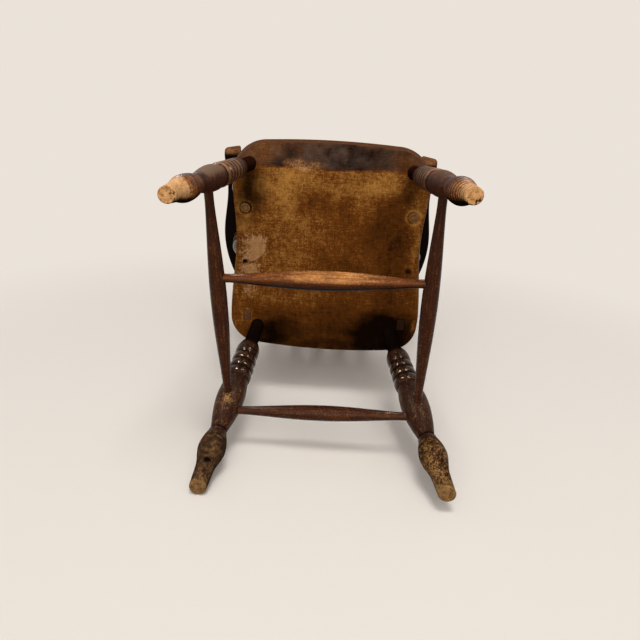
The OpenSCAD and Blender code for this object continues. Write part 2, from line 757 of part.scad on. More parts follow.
// Rear spindle: a lower vase with beads above it
function spindle_profile(len) =
    let (
        foot_r = spindle_hole_d / 2 - fit,
        vase_r = spindle_vase_d / 2,
        head_r = head_tenon_d / 2,
        neck_r = head_r + head_shoulder,
        beads_to = spindle_beads_from + upper_bead_count * spindle_bead_w
    )
        concat(
            [[foot_r, spindle_tenon_short], [foot_r, spindle_foot_len]],
            [for (s = steps(4))
                [mix(foot_r, neck_r, ease(s)), mix(spindle_foot_len, spindle_vase_from, s)]],
            [for (s = steps(curve_steps))
                [swell(neck_r, vase_r, s), mix(spindle_vase_from, spindle_vase_at, s)]],
            [for (s = steps(curve_steps))
                [swell(neck_r, vase_r, 1 - s), mix(spindle_vase_at, spindle_beads_from, s)]],
            [for (k = [0 : upper_bead_count - 1], s = steps(6))
                [neck_r + (spindle_bead_h - k) * sin(180 * s), spindle_beads_from + spindle_bead_w * (k + s)]],
            [[head_r, mix(beads_to, len - head_neck, 0.5)], [head_r, len + head_tenon_len - fit]]
        );

module arm_spindle(side) {
    a = spindle_foot(side);
    b = spindle_head(side);
    place() color(dark_stain) turning(a, b, spindle_profile(norm(b - a)));
}

// Arms: the outer edge, the width and the height of the rounded ends, along Y
arm_front_y = arm_front_short - seat_front_reach;
arm_joint_y = post_front_y(arm_mid_z) - fit;
function arm_outer(y) =
    y < arm_waist_y ? mix(arm_waist_half, arm_front_half, ease((y - arm_waist_y) / (arm_front_y - arm_waist_y)))
    : y < arm_belly_y ? mix(arm_waist_half, arm_belly_half, ease((y - arm_waist_y) / (arm_belly_y - arm_waist_y)))
    : mix(arm_belly_half, post_half(arm_mid_z) + arm_rear_w / 2,
        pow((y - arm_belly_y) / (arm_joint_y - arm_belly_y), 2));
function arm_width(y) =
    y < arm_waist_y ? mix(arm_waist_w, arm_front_w, ease((y - arm_waist_y) / (arm_front_y - arm_waist_y)))
    : y < arm_belly_y ? mix(arm_waist_w, arm_belly_w, ease((y - arm_waist_y) / (arm_belly_y - arm_waist_y)))
    : mix(arm_belly_w, arm_rear_w, ease((y - arm_belly_y) / (arm_joint_y - arm_belly_y)));
// Rise of a rounded end of radius r, at a distance from its tip
function round_rise(r, gap) = gap < r ? r - sqrt(r * r - pow(r - gap, 2)) : 0;

function arm_ring(side, y) =
    let (
        gap = y - arm_front_y,
        low = arm_underside_z + round_rise(arm_nose_r, gap),
        high = arm_top_z - round_rise(arm_edge_r, gap),
        w = arm_width(y) - 2 * round_rise(arm_corner_r, gap),
        x = side * (arm_outer(y) - arm_width(y) / 2) + upper_lean,
        yaw = tan(arm_end_turn) * (1 - ease(clamp01(gap / arm_turn_len))),
        joint = ease(clamp01(1 - (arm_joint_y - y) / arm_turn_len)),
        slope = (post_front_y(arm_top_z) - post_front_y(arm_underside_z)) / arm_thickness
    )
        [
            for (q = rounded(6))
                let (z = mix(low, high, (q.y + 1) / 2))
                    [x - q.x * w / 2, y - side * q.x * w / 2 * yaw + joint * slope * (z - arm_mid_z), z]
        ];
arm_stations = concat(
    [for (gap = [0, 0.04, 0.16, 0.36, 0.64]) arm_front_y + gap * arm_nose_r],
    [for (s = [0 : 20]) mix(arm_front_y + arm_nose_r, arm_joint_y, s / 20)]
);

module arm(side) {
    joint = [post_centre(side, arm_mid_z).x, arm_joint_y, arm_mid_z];
    behind = joint + [0, 1, 0];
    place() color(dark_stain) difference() {
        union() {
            loft([for (y = arm_stations) arm_ring(side, y)]);
            rod(joint, behind, -arm_tenon_len, arm_tenon_len - fit, arm_tenon_d);
        }
        head_hole(support_foot(side), support_head(side));
        head_hole(spindle_foot(side), spindle_head(side));
        arm_peg(side, fit);
    }
}

// Blind hole in an arm's underside for the tenon of a support or spindle
module head_hole(a, b) {
    rod(a, b, norm(b - a) - head_neck, norm(b - a) + head_tenon_len, head_tenon_d + 2 * fit);
}

// Peg through the outer side of a back post and the arm's tenon
module arm_peg(side, room) {
    c = post_centre(side, arm_mid_z);
    a = [c.x + side * (post_w / 2 - 0.5), arm_joint_y + arm_tenon_len / 2, arm_mid_z];
    rod(a, a - [side, 0, 0], room > 0 ? -post_w : 0, arm_peg_len + room, peg_d + 2 * room);
}

// Back posts
module back_post(side) {
    foot = post_centre(side, seat_underside_z);
    top = post_centre(side, crest_z) - fit * crest_up;
    joint = [post_centre(side, arm_mid_z).x, arm_joint_y, arm_mid_z];
    place() color(dark_stain) difference() {
        union() {
            loft([
                for (s = concat([0], steps(14)))
                    let (z = mix(seat_top_z + fit, crest_z, s), c = s == 1 ? top : post_centre(side, z))
                        upright_ring(c, mix(post_w, post_top_w, s), post_depth(z), post_tilt(z), rounded(4))
            ]);
            tenon_block(foot, post_centre(side, seat_top_z + past), post_tenon_w, post_tenon_d);
            post_head_block(side, 0);
        }
        rod(joint, joint + [0, 1, 0], -post_d, arm_tenon_len, arm_tenon_d + 2 * fit);
        arm_peg(side, fit);
        crest_peg(side, fit);
    }
}

// Tenon at the head of a back post, or its mortise if there is room round it
module post_head_block(side, room) {
    c = post_centre(side, crest_z);
    tenon_block(
        c - past * crest_up, c + (post_head_len + room) * crest_up,
        post_head_w + 2 * room, post_head_d + 2 * room, crest_tilt
    );
}

// Laths
module lath(i) {
    top = lath_centre(i, crest_z) - fit * crest_up;
    if (i < lath_count) place() color(dark_stain) union() {
        loft([
            for (s = concat([0], steps(12)))
                let (z = mix(seat_top_z + fit, crest_z, s), c = s == 1 ? top : lath_centre(i, z))
                    upright_ring(c, mix(lath_w, lath_top_w, s), lath_t, post_tilt(z), rounded(5))
        ]);
        lath_foot_block(i, 0);
        lath_head_block(i, 0);
    }
}

module lath_head_block(i, room) {
    c = lath_centre(i, crest_z);
    tenon_block(
        c - past * crest_up, c + (lath_tenon_len + room) * crest_up,
        lath_top_w - 2 * lath_shoulder + 2 * room, lath_t - 2 * lath_cheek + 2 * room, crest_tilt
    );
}

module crest_rail() {
    place() color(dark_stain) difference() {
        loft([
            for (s = [-14 : 14])
                [for (q = rounded(5)) crest_section_point(sin(86 * s / 14), q)]
        ]);
        for (side = [LEFT, RIGHT]) {
            post_head_block(side, fit);
            crest_peg(side, fit);
        }
        for (i = [0 : lath_count - 1]) lath_head_block(i, fit);
    }
}

// Peg from behind through the crest rail and a post's head tenon
module crest_peg(side, room) {
    c = post_centre(side, crest_z) + post_head_len / 2 * crest_up + (crest_t / 2 - 0.5) * crest_back;
    rod(c, c - crest_back, room > 0 ? -crest_t : 0, crest_peg_len + room, peg_d + 2 * room);
}

module crest_pegs() {
    place() color(worn_wood) for (side = [LEFT, RIGHT]) crest_peg(side, 0);
}

module arm_pegs() {
    place() color(worn_wood) for (side = [LEFT, RIGHT]) arm_peg(side, 0);
}

seat();
leg(LEFT, false);  // leg_front_left
leg(RIGHT, false);  // leg_front_right
leg(LEFT, true);  // leg_rear_left
leg(RIGHT, true);  // leg_rear_right
stretcher_side(LEFT);  // stretcher_side_left
stretcher_side(RIGHT);  // stretcher_side_right
stretcher_cross();
stretcher_back();
arm_support(LEFT);  // arm_support_left
arm_support(RIGHT);  // arm_support_right
arm_spindle(LEFT);  // arm_spindle_left
arm_spindle(RIGHT);  // arm_spindle_right
arm(LEFT);  // arm_left
arm(RIGHT);  // arm_right
back_post(LEFT);  // back_post_left
back_post(RIGHT);  // back_post_right
lath(0);  // lath_1
lath(1);  // lath_2
lath(2);  // lath_3
lath(3);  // lath_4
lath(4);  // lath_5
crest_rail();
crest_pegs();
arm_pegs();
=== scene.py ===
"""Looks of the lath back Windsor armchair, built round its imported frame.

Lengths are millimetres in the chair's own frame, as in the part's source: X is the sitter's left,
-Y the front and Z up, with the seat's reference point at X = Y = 0 and the floor at Z = 0.
chair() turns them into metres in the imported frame.
"""
import math

import bmesh
import bpy
import numpy as np
from mathutils import Matrix, Vector


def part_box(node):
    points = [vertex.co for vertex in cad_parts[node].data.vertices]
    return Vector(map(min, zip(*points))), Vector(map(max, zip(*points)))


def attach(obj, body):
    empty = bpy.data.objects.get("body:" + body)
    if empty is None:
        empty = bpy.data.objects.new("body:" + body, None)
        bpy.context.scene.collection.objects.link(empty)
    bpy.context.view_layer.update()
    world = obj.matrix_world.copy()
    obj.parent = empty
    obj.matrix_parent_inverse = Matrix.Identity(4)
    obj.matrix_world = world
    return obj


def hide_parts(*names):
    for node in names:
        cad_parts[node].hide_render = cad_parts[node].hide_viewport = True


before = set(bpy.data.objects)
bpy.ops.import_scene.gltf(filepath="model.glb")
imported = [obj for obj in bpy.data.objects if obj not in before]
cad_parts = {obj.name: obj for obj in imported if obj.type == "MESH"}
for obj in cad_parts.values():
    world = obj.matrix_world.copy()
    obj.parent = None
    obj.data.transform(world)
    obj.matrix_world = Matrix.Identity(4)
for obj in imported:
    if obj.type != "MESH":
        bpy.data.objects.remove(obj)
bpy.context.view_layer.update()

# Driving sizes, as in the part's source
SEAT_UNDER, SEAT_THICK = 400, 45
SEAT_TOP = SEAT_UNDER + SEAT_THICK
SEAT_FRONT_W, SEAT_WAIST_W, SEAT_REAR_W = 398, 381, 405
SEAT_FRONT, SEAT_REAR, SEAT_WAIST_AHEAD = 227, 214, 30
FRONT_CORNER_R, REAR_CORNER_R = 68, 60
FRONT_BOW, REAR_BOW = 4.5, 7.5
SEAT_FLARE, SEAT_ARRIS, SEAT_RIM_R = 6, 2, 6
DISH_DEPTH, DISH_W = 13, 322
BEVEL_RUN, BEVEL_RISE = 49, 16
FRONT_SOCKET_IN, FRONT_SOCKET_BACK = 33.5, 43
REAR_SOCKET_IN, REAR_SOCKET_AHEAD = 58, 48
FRONT_SPLAY, FRONT_RAKE = 51.5, 30
REAR_SPLAY, REAR_RAKE = 68.5, 125
BASE_TWIST, BASE_SHIFT = math.radians(-3.2), 8.3
LEG_TOP_R, LEG_TENON, FRONT_WEAR = 14, 30, 8
LEG_NECK_R, LEG_NECK_AT, FOOT_FLARE = 15, 125, 1.3
VASE_END_DROP, BEAD_GROOVE, BEAD_TAPER, SHOULDER_LEN = 1.5, 2.2, 0.4, 50
SIDE_FRONT_Z, SIDE_REAR_Z, BACK_STRETCHER_Z, CROSS_SHARE = 165, 185, 167, 0.403
STRETCHER_END_R, SIDE_MID_R, CROSS_MID_R = 8, 15, 18
LEG_TENON_STOP, CROSS_TENON_STOP = 10, 2
SUPPORT_TENON_R, SPINDLE_HOLE_R, HEAD_TENON_R = 9.75, 5.25, 7
HEAD_TENON_LEN, HEAD_NECK, STEM_R = 17, 8, 9
ARM_UNDER, ARM_THICK = SEAT_TOP + 195, 27
ARM_TOP = ARM_UNDER + ARM_THICK
ARM_MID = (ARM_UNDER + ARM_TOP) / 2
ARM_FRONT_W, ARM_WAIST_W, ARM_BELLY_W, ARM_REAR_W = 37, 40, 58, 23
ARM_NOSE_R, ARM_EDGE_R, ARM_CORNER_R = 19, 6, 6
ARM_TURN_LEN, ARM_END_TURN = 60, 11
ARM_TENON_R, ARM_TENON_LEN = 6.5, 19
UPPER_LEAN = -12
CREST_Z = SEAT_TOP + 545
CREST_H, CREST_T, CREST_SAG, CREST_OVER = 88, 25, 34, 32
CREST_CORNER, CREST_ARCH = 10, 0.2
POST_TENON_W, POST_TENON_D = 16, 24
POST_W, POST_TOP_W, POST_D, POST_TOP_D = 25, 21, 33, 20
POST_HEAD_W, POST_HEAD_D, POST_HEAD_LEN = 15, 13, 30
POST_EDGE, POST_BACK_EDGE, POST_BEND, LEAN_BACK = 34.5, 71, 38, 11
POST_SLOPE = math.tan(math.radians(LEAN_BACK))
POST_SPLAY = math.tan(math.radians(3.7))
LATH_W, LATH_TOP_W, LATH_T, LATH_ROW_BOW = 32, 38, 9, 34
LATH_FOOT_W, LATH_HEAD_W, LATH_TENON_T, LATH_TENON_LEN = 26, 32, 7, 21
LATH_SIDE_GAP, LATH_TOP_SIDE_GAP = 63, 82
PEG_R, CREST_PEG_LEN, ARM_PEG_LEN = 3.0, 20, 17
FIT = 0.15
# How far a cutter reaches out of a face
PAST = 2
LEFT, RIGHT = 1, -1
# The laths, counted from the middle one
LATHS = range(-2, 3)
# The crack in the seat's underside is an arc round the pale patch
CRACK_AT, CRACK_R = np.array([-172, -22]), 44.5
# Colour of the plain surroundings, as it shows
CREAM = (235, 227, 218)

seat_low, seat_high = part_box("seat")
REFERENCE = Vector((
    (seat_low.x + seat_high.x) / 2,
    seat_high.y - (SEAT_REAR + SEAT_FLARE) / 1000,
    0,
))


def chair(point):
    """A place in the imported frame, in metres, from one in the chair's own frame."""
    return Vector(point) / 1000 + REFERENCE


# Plain helpers

def mix(a, b, s):
    return a + (b - a) * s


def ease(s):
    s = np.clip(s, 0, 1)
    return s * s * (3 - 2 * s)


def between(h, low, rise, high, fall):
    """1 from low + rise to high - fall, and 0 below low and above high."""
    return ease((h - low) / rise) * ease((high - h) / fall)


def swell(a, b, s):
    return a + (b - a) * np.sin(s * np.pi / 2)


def stretch(start, end, radius, steps):
    """Rows of (distance, radius) from start up to, not including, end.

    radius is a function of the share of the way.
    """
    s = np.arange(steps) / steps
    return np.column_stack([mix(start, end, s), radius(s) + 0 * s])


def cloud(points, size, seed, octaves=3):
    """Soft noise from 0 to 1 at each point, with features of about the given size."""
    total = np.zeros(len(points))
    weight = 0
    for octave in range(octaves):
        p = points * 2 ** octave / size + 17.3 * (seed + octave)
        cell = np.floor(p).astype(np.int64)
        f = ease(p - cell)
        value = np.zeros(len(points))
        for corner in range(8):
            step = np.array([corner & 1, corner >> 1 & 1, corner >> 2])
            n = ((cell + step) * [374761393, 668265263, 1274126177]).sum(axis=1) + seed * 9176
            n = (n ^ (n >> 13)) * 1103515245 & 0x7FFFFFFF
            n = (n ^ (n >> 16)) & 0xFFFF
            value += n / 0xFFFF * np.where(step, f, 1 - f).prod(axis=1)
        total += value * 0.5 ** octave
        weight += 0.5 ** octave
    return total / weight


def blob(points, at, radii, soft, turn=0):
    """1 inside an ellipse on the XY plane and 0 outside it, with a soft edge; turn is in degrees."""
    d = points[:, :2] - at
    c, s = math.cos(math.radians(turn)), math.sin(math.radians(turn))
    far = np.hypot((d[:, 0] * c + d[:, 1] * s) / radii[0], (d[:, 1] * c - d[:, 0] * s) / radii[1])
    return 1 - ease((far - 1 + soft / 2) / soft)


def axes_along(a, b):
    """Three rows: two directions across the line from a to b, the first level, and one along it."""
    along = np.subtract(b, a) / np.linalg.norm(np.subtract(b, a))
    level = np.cross([0, 0, 1], along) if abs(along[2]) < 0.999 else np.array([1.0, 0, 0])
    level = level / np.linalg.norm(level)
    return np.array([level, np.cross(along, level), along])


# Pieces and what is painted on them

# Each wood material by its name
WOODS = {}
SHARP_ANGLE = 38


def link(name, data):
    """A new object in the scene."""
    thing = bpy.data.objects.new(name, data)
    bpy.context.scene.collection.objects.link(thing)
    return thing


def make(name, node, slot, local, faces, origin=(0, 0, 0), axes=None, wood=None):
    """A mesh piece that stands for a node, from points in millimetres along its own axes."""
    local = np.asarray(local, float)
    turned_round = local if axes is None else local @ axes
    mesh = bpy.data.meshes.new(name)
    mesh.from_pydata(((turned_round + origin) / 1000 + np.array(REFERENCE)).tolist(), [], faces)
    shape = bmesh.new()
    shape.from_mesh(mesh)
    bmesh.ops.recalc_face_normals(shape, faces=shape.faces)
    shape.to_mesh(mesh)
    shape.free()
    piece = link(name, mesh)
    mesh.materials.append(WOODS[wood or slot])
    finish_piece(mesh, local)
    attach(piece, "root")
    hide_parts(node)
    return piece


def finish_piece(mesh, grain_places):
    """Stores the places by which the grain runs, and shades all but sharp edges smooth."""
    if "place" in mesh.attributes:
        mesh.attributes.remove(mesh.attributes["place"])
    grain = mesh.attributes.new("place", "FLOAT_VECTOR", "POINT")
    grain.data.foreach_set("vector", grain_places.astype(np.float32).ravel())
    mesh.polygons.foreach_set("use_smooth", [True] * len(mesh.polygons))
    mesh.set_sharp_from_angle(angle=math.radians(SHARP_ANGLE))


def places(piece):
    """The piece's points in the chair's own millimetres."""
    flat = np.empty(len(piece.data.vertices) * 3)
    piece.data.vertices.foreach_get("co", flat)
    return (flat.reshape(-1, 3) - np.array(REFERENCE)) * 1000


def paint(piece, **layers):
    """Stores each layer, a number from 0 to 1 for each point, for the wood materials to read."""
    for name, values in layers.items():
        layer = piece.data.attributes.new(name, "FLOAT", "POINT")
        layer.data.foreach_set("value", np.clip(values, 0, 1).astype(np.float32))


def tube_faces(rings, sides):
    """Quads between rings of points, and the two ends, for rings that run anticlockwise from above."""
    faces = []
    for r in range(rings - 1):
        for i in range(sides):
            j = (i + 1) % sides
            faces.append((r * sides + i, r * sides + j, (r + 1) * sides + j, (r + 1) * sides + i))
    faces.append(tuple(range(sides - 1, -1, -1)))
    faces.append(tuple((rings - 1) * sides + i for i in range(sides)))
    return faces


def cut(piece, cutters):
    """Takes the cutters' shapes out of a piece."""
    for shape in cutters:
        knife = piece.modifiers.new("cut", "BOOLEAN")
        knife.operation = "DIFFERENCE"
        knife.solver = "MANIFOLD"
        knife.object = shape
    bpy.context.view_layer.update()
    result = piece.evaluated_get(bpy.context.evaluated_depsgraph_get())
    mesh = bpy.data.meshes.new_from_object(result)
    piece.modifiers.clear()
    piece.data = mesh
    for shape in cutters:
        bpy.data.objects.remove(shape)
    finish_piece(mesh, places(piece))


def cutter(rings):
    """A shape to cut with, skinned over rings of points."""
    mesh = bpy.data.meshes.new("cutter")
    points = np.vstack(rings)
    mesh.from_pydata([chair(p) for p in points], [], tube_faces(len(rings), len(rings[0])))
    return link("cutter", mesh)


def turns(count):
    """Angles of points at even distances round a circle."""
    return np.arange(count) * 2 * np.pi / count


def round_cutter(a, b, start, end, radius):
    axes = axes_along(a, b)
    turn = turns(48)
    ring = radius * (np.cos(turn)[:, None] * axes[0] + np.sin(turn)[:, None] * axes[1])
    return cutter([ring + a + h * axes[2] for h in (start, end)])


def block_cutter(low, high, width, depth):
    """A square hole between two section middles; width is along X and depth along Y."""
    corner = np.array([[-1, -1, 0], [1, -1, 0], [1, 1, 0], [-1, 1, 0]]) * [width / 2, depth / 2, 0]
    return cutter([corner + low, corner + high])


def turned(node, slot, a, b, rows, seed, sides=72, flat_end=0):
    """A turning on the line from a to b, from rows of (distance, radius), a little out of round.

    flat_end is the length over which the first rings turn from level to square with the turning.
    It gives back the piece, and for each point the distance from a, how far it stands above the
    turning's own mean radius nearby, and the direction away from the axis.
    """
    axes = axes_along(a, b)
    h, r = rows[:, 0], rows[:, 1]
    h2, turn2 = np.meshgrid(h, turns(sides), indexing="ij")
    r2 = np.repeat(r[:, None], sides, axis=1)
    around = np.stack([np.cos(turn2) * 30, np.sin(turn2) * 30, h2], axis=-1).reshape(-1, 3)
    uneven = (cloud(around, 45, seed + 3) - 0.5).reshape(h2.shape) * 0.02
    r2 = r2 * (1 - 0.008 + uneven + 0.005 * np.cos(2 * turn2 + seed))
    x, y = r2 * np.cos(turn2), r2 * np.sin(turn2)
    if flat_end:
        h2 = h2 - axes[1][2] / axes[2][2] * y * (1 - ease(h2 / flat_end))
    local = np.stack([x, y, h2], axis=-1).reshape(-1, 3)
    piece = make(node + "_turning", node, slot, local, tube_faces(len(h), sides), a, axes)
    even = np.arange(h[0], h[-1])
    mean = np.convolve(np.pad(np.interp(even, h, r), 6, "edge"), np.ones(13) / 13, "valid")
    ridge = np.repeat(np.where(np.gradient(h) > 0.2, r - np.interp(h, even, mean), 0), sides)
    away = np.cos(turn2)[..., None] * axes[0] + np.sin(turn2)[..., None] * axes[1]
    return piece, np.repeat(h, sides), ridge, away.reshape(-1, 3)


def lofted(name, node, slot, rings, wood=None):
    """A piece skinned over rings of points, which run anticlockwise seen from the last ring's end."""
    rings = np.asarray(rings, float)
    return make(name, node, slot, rings.reshape(-1, 3), tube_faces(*rings.shape[:2]), wood=wood)


def rounded(power, count=40):
    """Points of a rounded square round the origin, from half sizes of 1."""
    c, s = np.cos(turns(count)), np.sin(turns(count))
    return np.column_stack([np.sign(c) * np.abs(c) ** (2 / power), np.sign(s) * np.abs(s) ** (2 / power)])


def side_name(side):
    return "left" if side == LEFT else "right"


# Outline of the seat

def side_half(y):
    """Half width of the seat between its corners, at a place y."""
    y = np.asarray(y, float)
    to_front = ease((y + SEAT_WAIST_AHEAD) / (FRONT_CORNER[1] + SEAT_WAIST_AHEAD))
    to_rear = ease((y + SEAT_WAIST_AHEAD) / (REAR_CORNER[1] + SEAT_WAIST_AHEAD))
    front = mix(SEAT_WAIST_W, SEAT_FRONT_W, to_front)
    rear = mix(SEAT_WAIST_W, SEAT_REAR_W, to_rear)
    return np.where(y < -SEAT_WAIST_AHEAD, front, rear) / 2


def seat_outline():
    """Points round the seat at even distances, anticlockwise from above, and their outward normals."""
    s = np.linspace(0, 1, 200, endpoint=False)
    arc = s * np.pi / 2
    y = mix(FRONT_CORNER[1], REAR_CORNER[1], s)
    half = np.vstack([
        np.column_stack([FRONT_CORNER[0] * s, -SEAT_FRONT + FRONT_BOW * s ** 2]),
        FRONT_CORNER + FRONT_CORNER_R * np.column_stack([np.sin(arc), -np.cos(arc)]),
        np.column_stack([side_half(y), y]),
        REAR_CORNER + REAR_CORNER_R * np.column_stack([np.cos(arc), np.sin(arc)]),
        np.column_stack([REAR_CORNER[0] * (1 - s), SEAT_REAR - REAR_BOW * (1 - s) ** 2]),
        [[0, SEAT_REAR]],
    ])
    ring = np.vstack([half, half[-2::-1] * [-1, 1]])
    gone = np.concatenate([[0], np.cumsum(np.hypot(*np.diff(ring, axis=0).T))])
    at = np.linspace(0, gone[-1], 520, endpoint=False)
    ring = np.column_stack([np.interp(at, gone, ring[:, 0]), np.interp(at, gone, ring[:, 1])])
    along = np.roll(ring, -1, axis=0) - np.roll(ring, 1, axis=0)
    along /= np.hypot(*along.T)[:, None]
    return ring, np.column_stack([along[:, 1], -along[:, 0]])


FRONT_CORNER = np.array([SEAT_FRONT_W / 2 - FRONT_CORNER_R, -SEAT_FRONT + FRONT_BOW + FRONT_CORNER_R])
REAR_CORNER = np.array([SEAT_REAR_W / 2 - REAR_CORNER_R, SEAT_REAR - REAR_BOW - REAR_CORNER_R])


# Places of the joints

def socket_point(side, rear):
    if rear:
        x, y = SEAT_REAR_W / 2 - REAR_SOCKET_IN, SEAT_REAR - REAR_SOCKET_AHEAD
    else:
        x, y = SEAT_FRONT_W / 2 - FRONT_SOCKET_IN, FRONT_SOCKET_BACK - SEAT_FRONT
    return np.array([side * x, y, SEAT_UNDER])


def foot_point(side, rear):
    out, back = (REAR_SPLAY, REAR_RAKE) if rear else (FRONT_SPLAY, -FRONT_RAKE)
    x, y, z = socket_point(side, rear) + [side * out, back, -SEAT_UNDER]
    c, s = math.cos(BASE_TWIST), math.sin(BASE_TWIST)
    return np.array([x * c - y * s + BASE_SHIFT, x * s + y * c, z])


def leg_at(side, rear, z):
    return mix(foot_point(side, rear), socket_point(side, rear), z / SEAT_UNDER)


def side_end(side, rear):
    return leg_at(side, rear, SIDE_REAR_Z if rear else SIDE_FRONT_Z)


def back_end(side):
    return leg_at(side, True, BACK_STRETCHER_Z)


def cross_end(side):
    return mix(side_end(side, False), side_end(side, True), CROSS_SHARE)


def post_y(z):
    return POST_FOOT_Y + (z - SEAT_UNDER) * POST_SLOPE + POST_BEND * (max(0, z - SEAT_TOP) / BACK_RISE) ** 2


def post_half(z):
    return side_half(POST_FOOT_Y) - POST_EDGE + (z - SEAT_UNDER) * POST_SPLAY


def post_share(z):
    return float(np.clip((z - SEAT_TOP) / BACK_RISE, 0, 1))


def lean(z):
    return UPPER_LEAN * math.sin(math.pi / 2 * float(np.clip((z - SEAT_TOP) / (ARM_MID - SEAT_TOP), 0, 1)))


def post_centre(side, z):
    return np.array([side * post_half(z) + lean(z), post_y(z), z])


def post_depth(z):
    return mix(POST_D, POST_TOP_D, post_share(z))


def post_tilt(z):
    return CREST_TILT * post_share(z)


def post_front_y(z):
    return post_y(z) - post_depth(z) / 2 / math.cos(post_tilt(z))


def crest_behind(x):
    return CREST_SAG * ((post_half(CREST_Z) / CREST_HALF) ** 2 - (x / CREST_HALF) ** 2)


def lath_centre(i, z):
    s = post_share(z)
    low_x = i * (post_half(SEAT_TOP) - LATH_SIDE_GAP) / 2
    high_x = i * (post_half(CREST_Z) - LATH_TOP_SIDE_GAP) / 2
    behind = mix(LATH_ROW_BOW * (1 - (low_x / post_half(SEAT_TOP)) ** 2), crest_behind(high_x), s)
    return np.array([mix(low_x, high_x, s) + lean(z), post_y(z) + behind, z])


POST_FOOT_Y = SEAT_REAR - POST_BACK_EDGE
BACK_RISE = CREST_Z - SEAT_TOP
CREST_TILT = math.atan(POST_SLOPE + 2 * POST_BEND / BACK_RISE)
CREST_HALF = post_half(CREST_Z) + CREST_OVER
CREST_UP = np.array([0, math.sin(CREST_TILT), math.cos(CREST_TILT)])
CREST_BACK = np.array([0, math.cos(CREST_TILT), -math.sin(CREST_TILT)])
ARM_FRONT_SHORT = 49
ARM_FRONT_Y = ARM_FRONT_SHORT - SEAT_FRONT
ARM_WAIST_Y, ARM_BELLY_Y = -80, 25
ARM_JOINT_Y = post_front_y(ARM_MID) - FIT
ARM_FRONT_OVER, ARM_WAIST_OVER, ARM_BELLY_OVER = 60.5, 52, 61
ARM_FRONT_HALF = SEAT_WAIST_W / 2 + ARM_FRONT_OVER
ARM_WAIST_HALF = SEAT_WAIST_W / 2 + ARM_WAIST_OVER
ARM_BELLY_HALF = SEAT_WAIST_W / 2 + ARM_BELLY_OVER


def arm_along(y, front, waist, belly, rear, last):
    """A size of the arm at a place y, from its values at the front end, waist, belly and joint."""
    if y < ARM_WAIST_Y:
        return mix(waist, front, ease((y - ARM_WAIST_Y) / (ARM_FRONT_Y - ARM_WAIST_Y)))
    if y < ARM_BELLY_Y:
        return mix(waist, belly, ease((y - ARM_WAIST_Y) / (ARM_BELLY_Y - ARM_WAIST_Y)))
    return mix(belly, rear, last((y - ARM_BELLY_Y) / (ARM_JOINT_Y - ARM_BELLY_Y)))


def arm_outer(y):
    rear = post_half(ARM_MID) + ARM_REAR_W / 2
    return arm_along(y, ARM_FRONT_HALF, ARM_WAIST_HALF, ARM_BELLY_HALF, rear, lambda s: s * s)


def arm_width(y):
    return arm_along(y, ARM_FRONT_W, ARM_WAIST_W, ARM_BELLY_W, ARM_REAR_W, ease)


def upright_ends(side, foot_y, foot_in, head_y, head_in):
    """Ends of a turned upright on the seat's underside and the arm's underside."""
    low = [side * (side_half(foot_y) - foot_in), foot_y, SEAT_UNDER]
    high = [side * (arm_outer(head_y) - head_in) + UPPER_LEAN, head_y, ARM_UNDER]
    return np.array(low, float), np.array(high, float)


def support_ends(side):
    return upright_ends(side, foot_y=-94, foot_in=22.5, head_y=-138, head_in=25)


def spindle_ends(side):
    return upright_ends(side, foot_y=21, foot_in=20.5, head_y=32, head_in=31)


# Wood material

def srgb(r, g, b):
    """A linear colour from the red, green and blue, 0 to 255, that it shows."""
    c = np.array([r, g, b]) / 255
    return tuple(np.where(c < 0.04045, c / 12.92, ((c + 0.055) / 1.055) ** 2.4)) + (1,)


class Tree:
    """Short calls for the nodes of a material or of the world."""

    def __init__(self, owner):
        owner.use_nodes = True
        self.tree = owner.node_tree
        self.shader = self.tree.nodes.get("Principled BSDF")

    def add(self, kind, inputs=(), **settings):
        node = self.tree.nodes.new(kind)
        for key, value in settings.items():
            setattr(node, key, value)
        for socket, value in dict(inputs).items():
            self.put(value, node.inputs[socket])
        return node

    def put(self, value, socket):
        if isinstance(value, bpy.types.NodeSocket):
            self.tree.links.new(value, socket)
        else:
            socket.default_value = value

    def math(self, operation, a, b, c=0.0):
        return self.add("ShaderNodeMath", {0: a, 1: b, 2: c}, operation=operation).outputs[0]

    def plus(self, value, amount, base):
        """The base with so much of the value added."""
        return self.math("MULTIPLY_ADD", value, amount, base)

    def band(self, value, low, high):
        """0 below low, 1 above high, and smooth between."""
        node = self.add("ShaderNodeMapRange", {"Value": value, "From Min": low, "From Max": high},
                        interpolation_type="SMOOTHSTEP")
        return node.outputs[0]

    def blend(self, a, b, share):
        node = self.add("ShaderNodeMix", (), data_type="RGBA")
        self.put(share, node.inputs["Factor"])
        self.put(a, node.inputs[6])
        self.put(b, node.inputs[7])
        return node.outputs[2]

    def noise(self, place, size, detail, stretch, shift=0.0):
        """Noise from -0.5 to 0.5, with features of about size millimetres, times stretch on each axis."""
        scale = [1 / (size * s) for s in stretch]
        mapped = self.add("ShaderNodeMapping", {"Vector": place, "Scale": scale,
                                                "Location": (shift, shift * 1.7, shift * 0.6)})
        node = self.add("ShaderNodeTexNoise", {"Vector": mapped.outputs[0], "Scale": 1.0,
                                               "Detail": detail, "Roughness": 0.55})
        return self.math("SUBTRACT", node.outputs[0], 0.5)

    def mix_shader(self, share, a, b):
        return self.add("ShaderNodeMixShader", {0: share, 1: a, 2: b}).outputs[0]

    def layer(self, name):
        return self.add("ShaderNodeAttribute", (), attribute_name=name).outputs["Fac"]


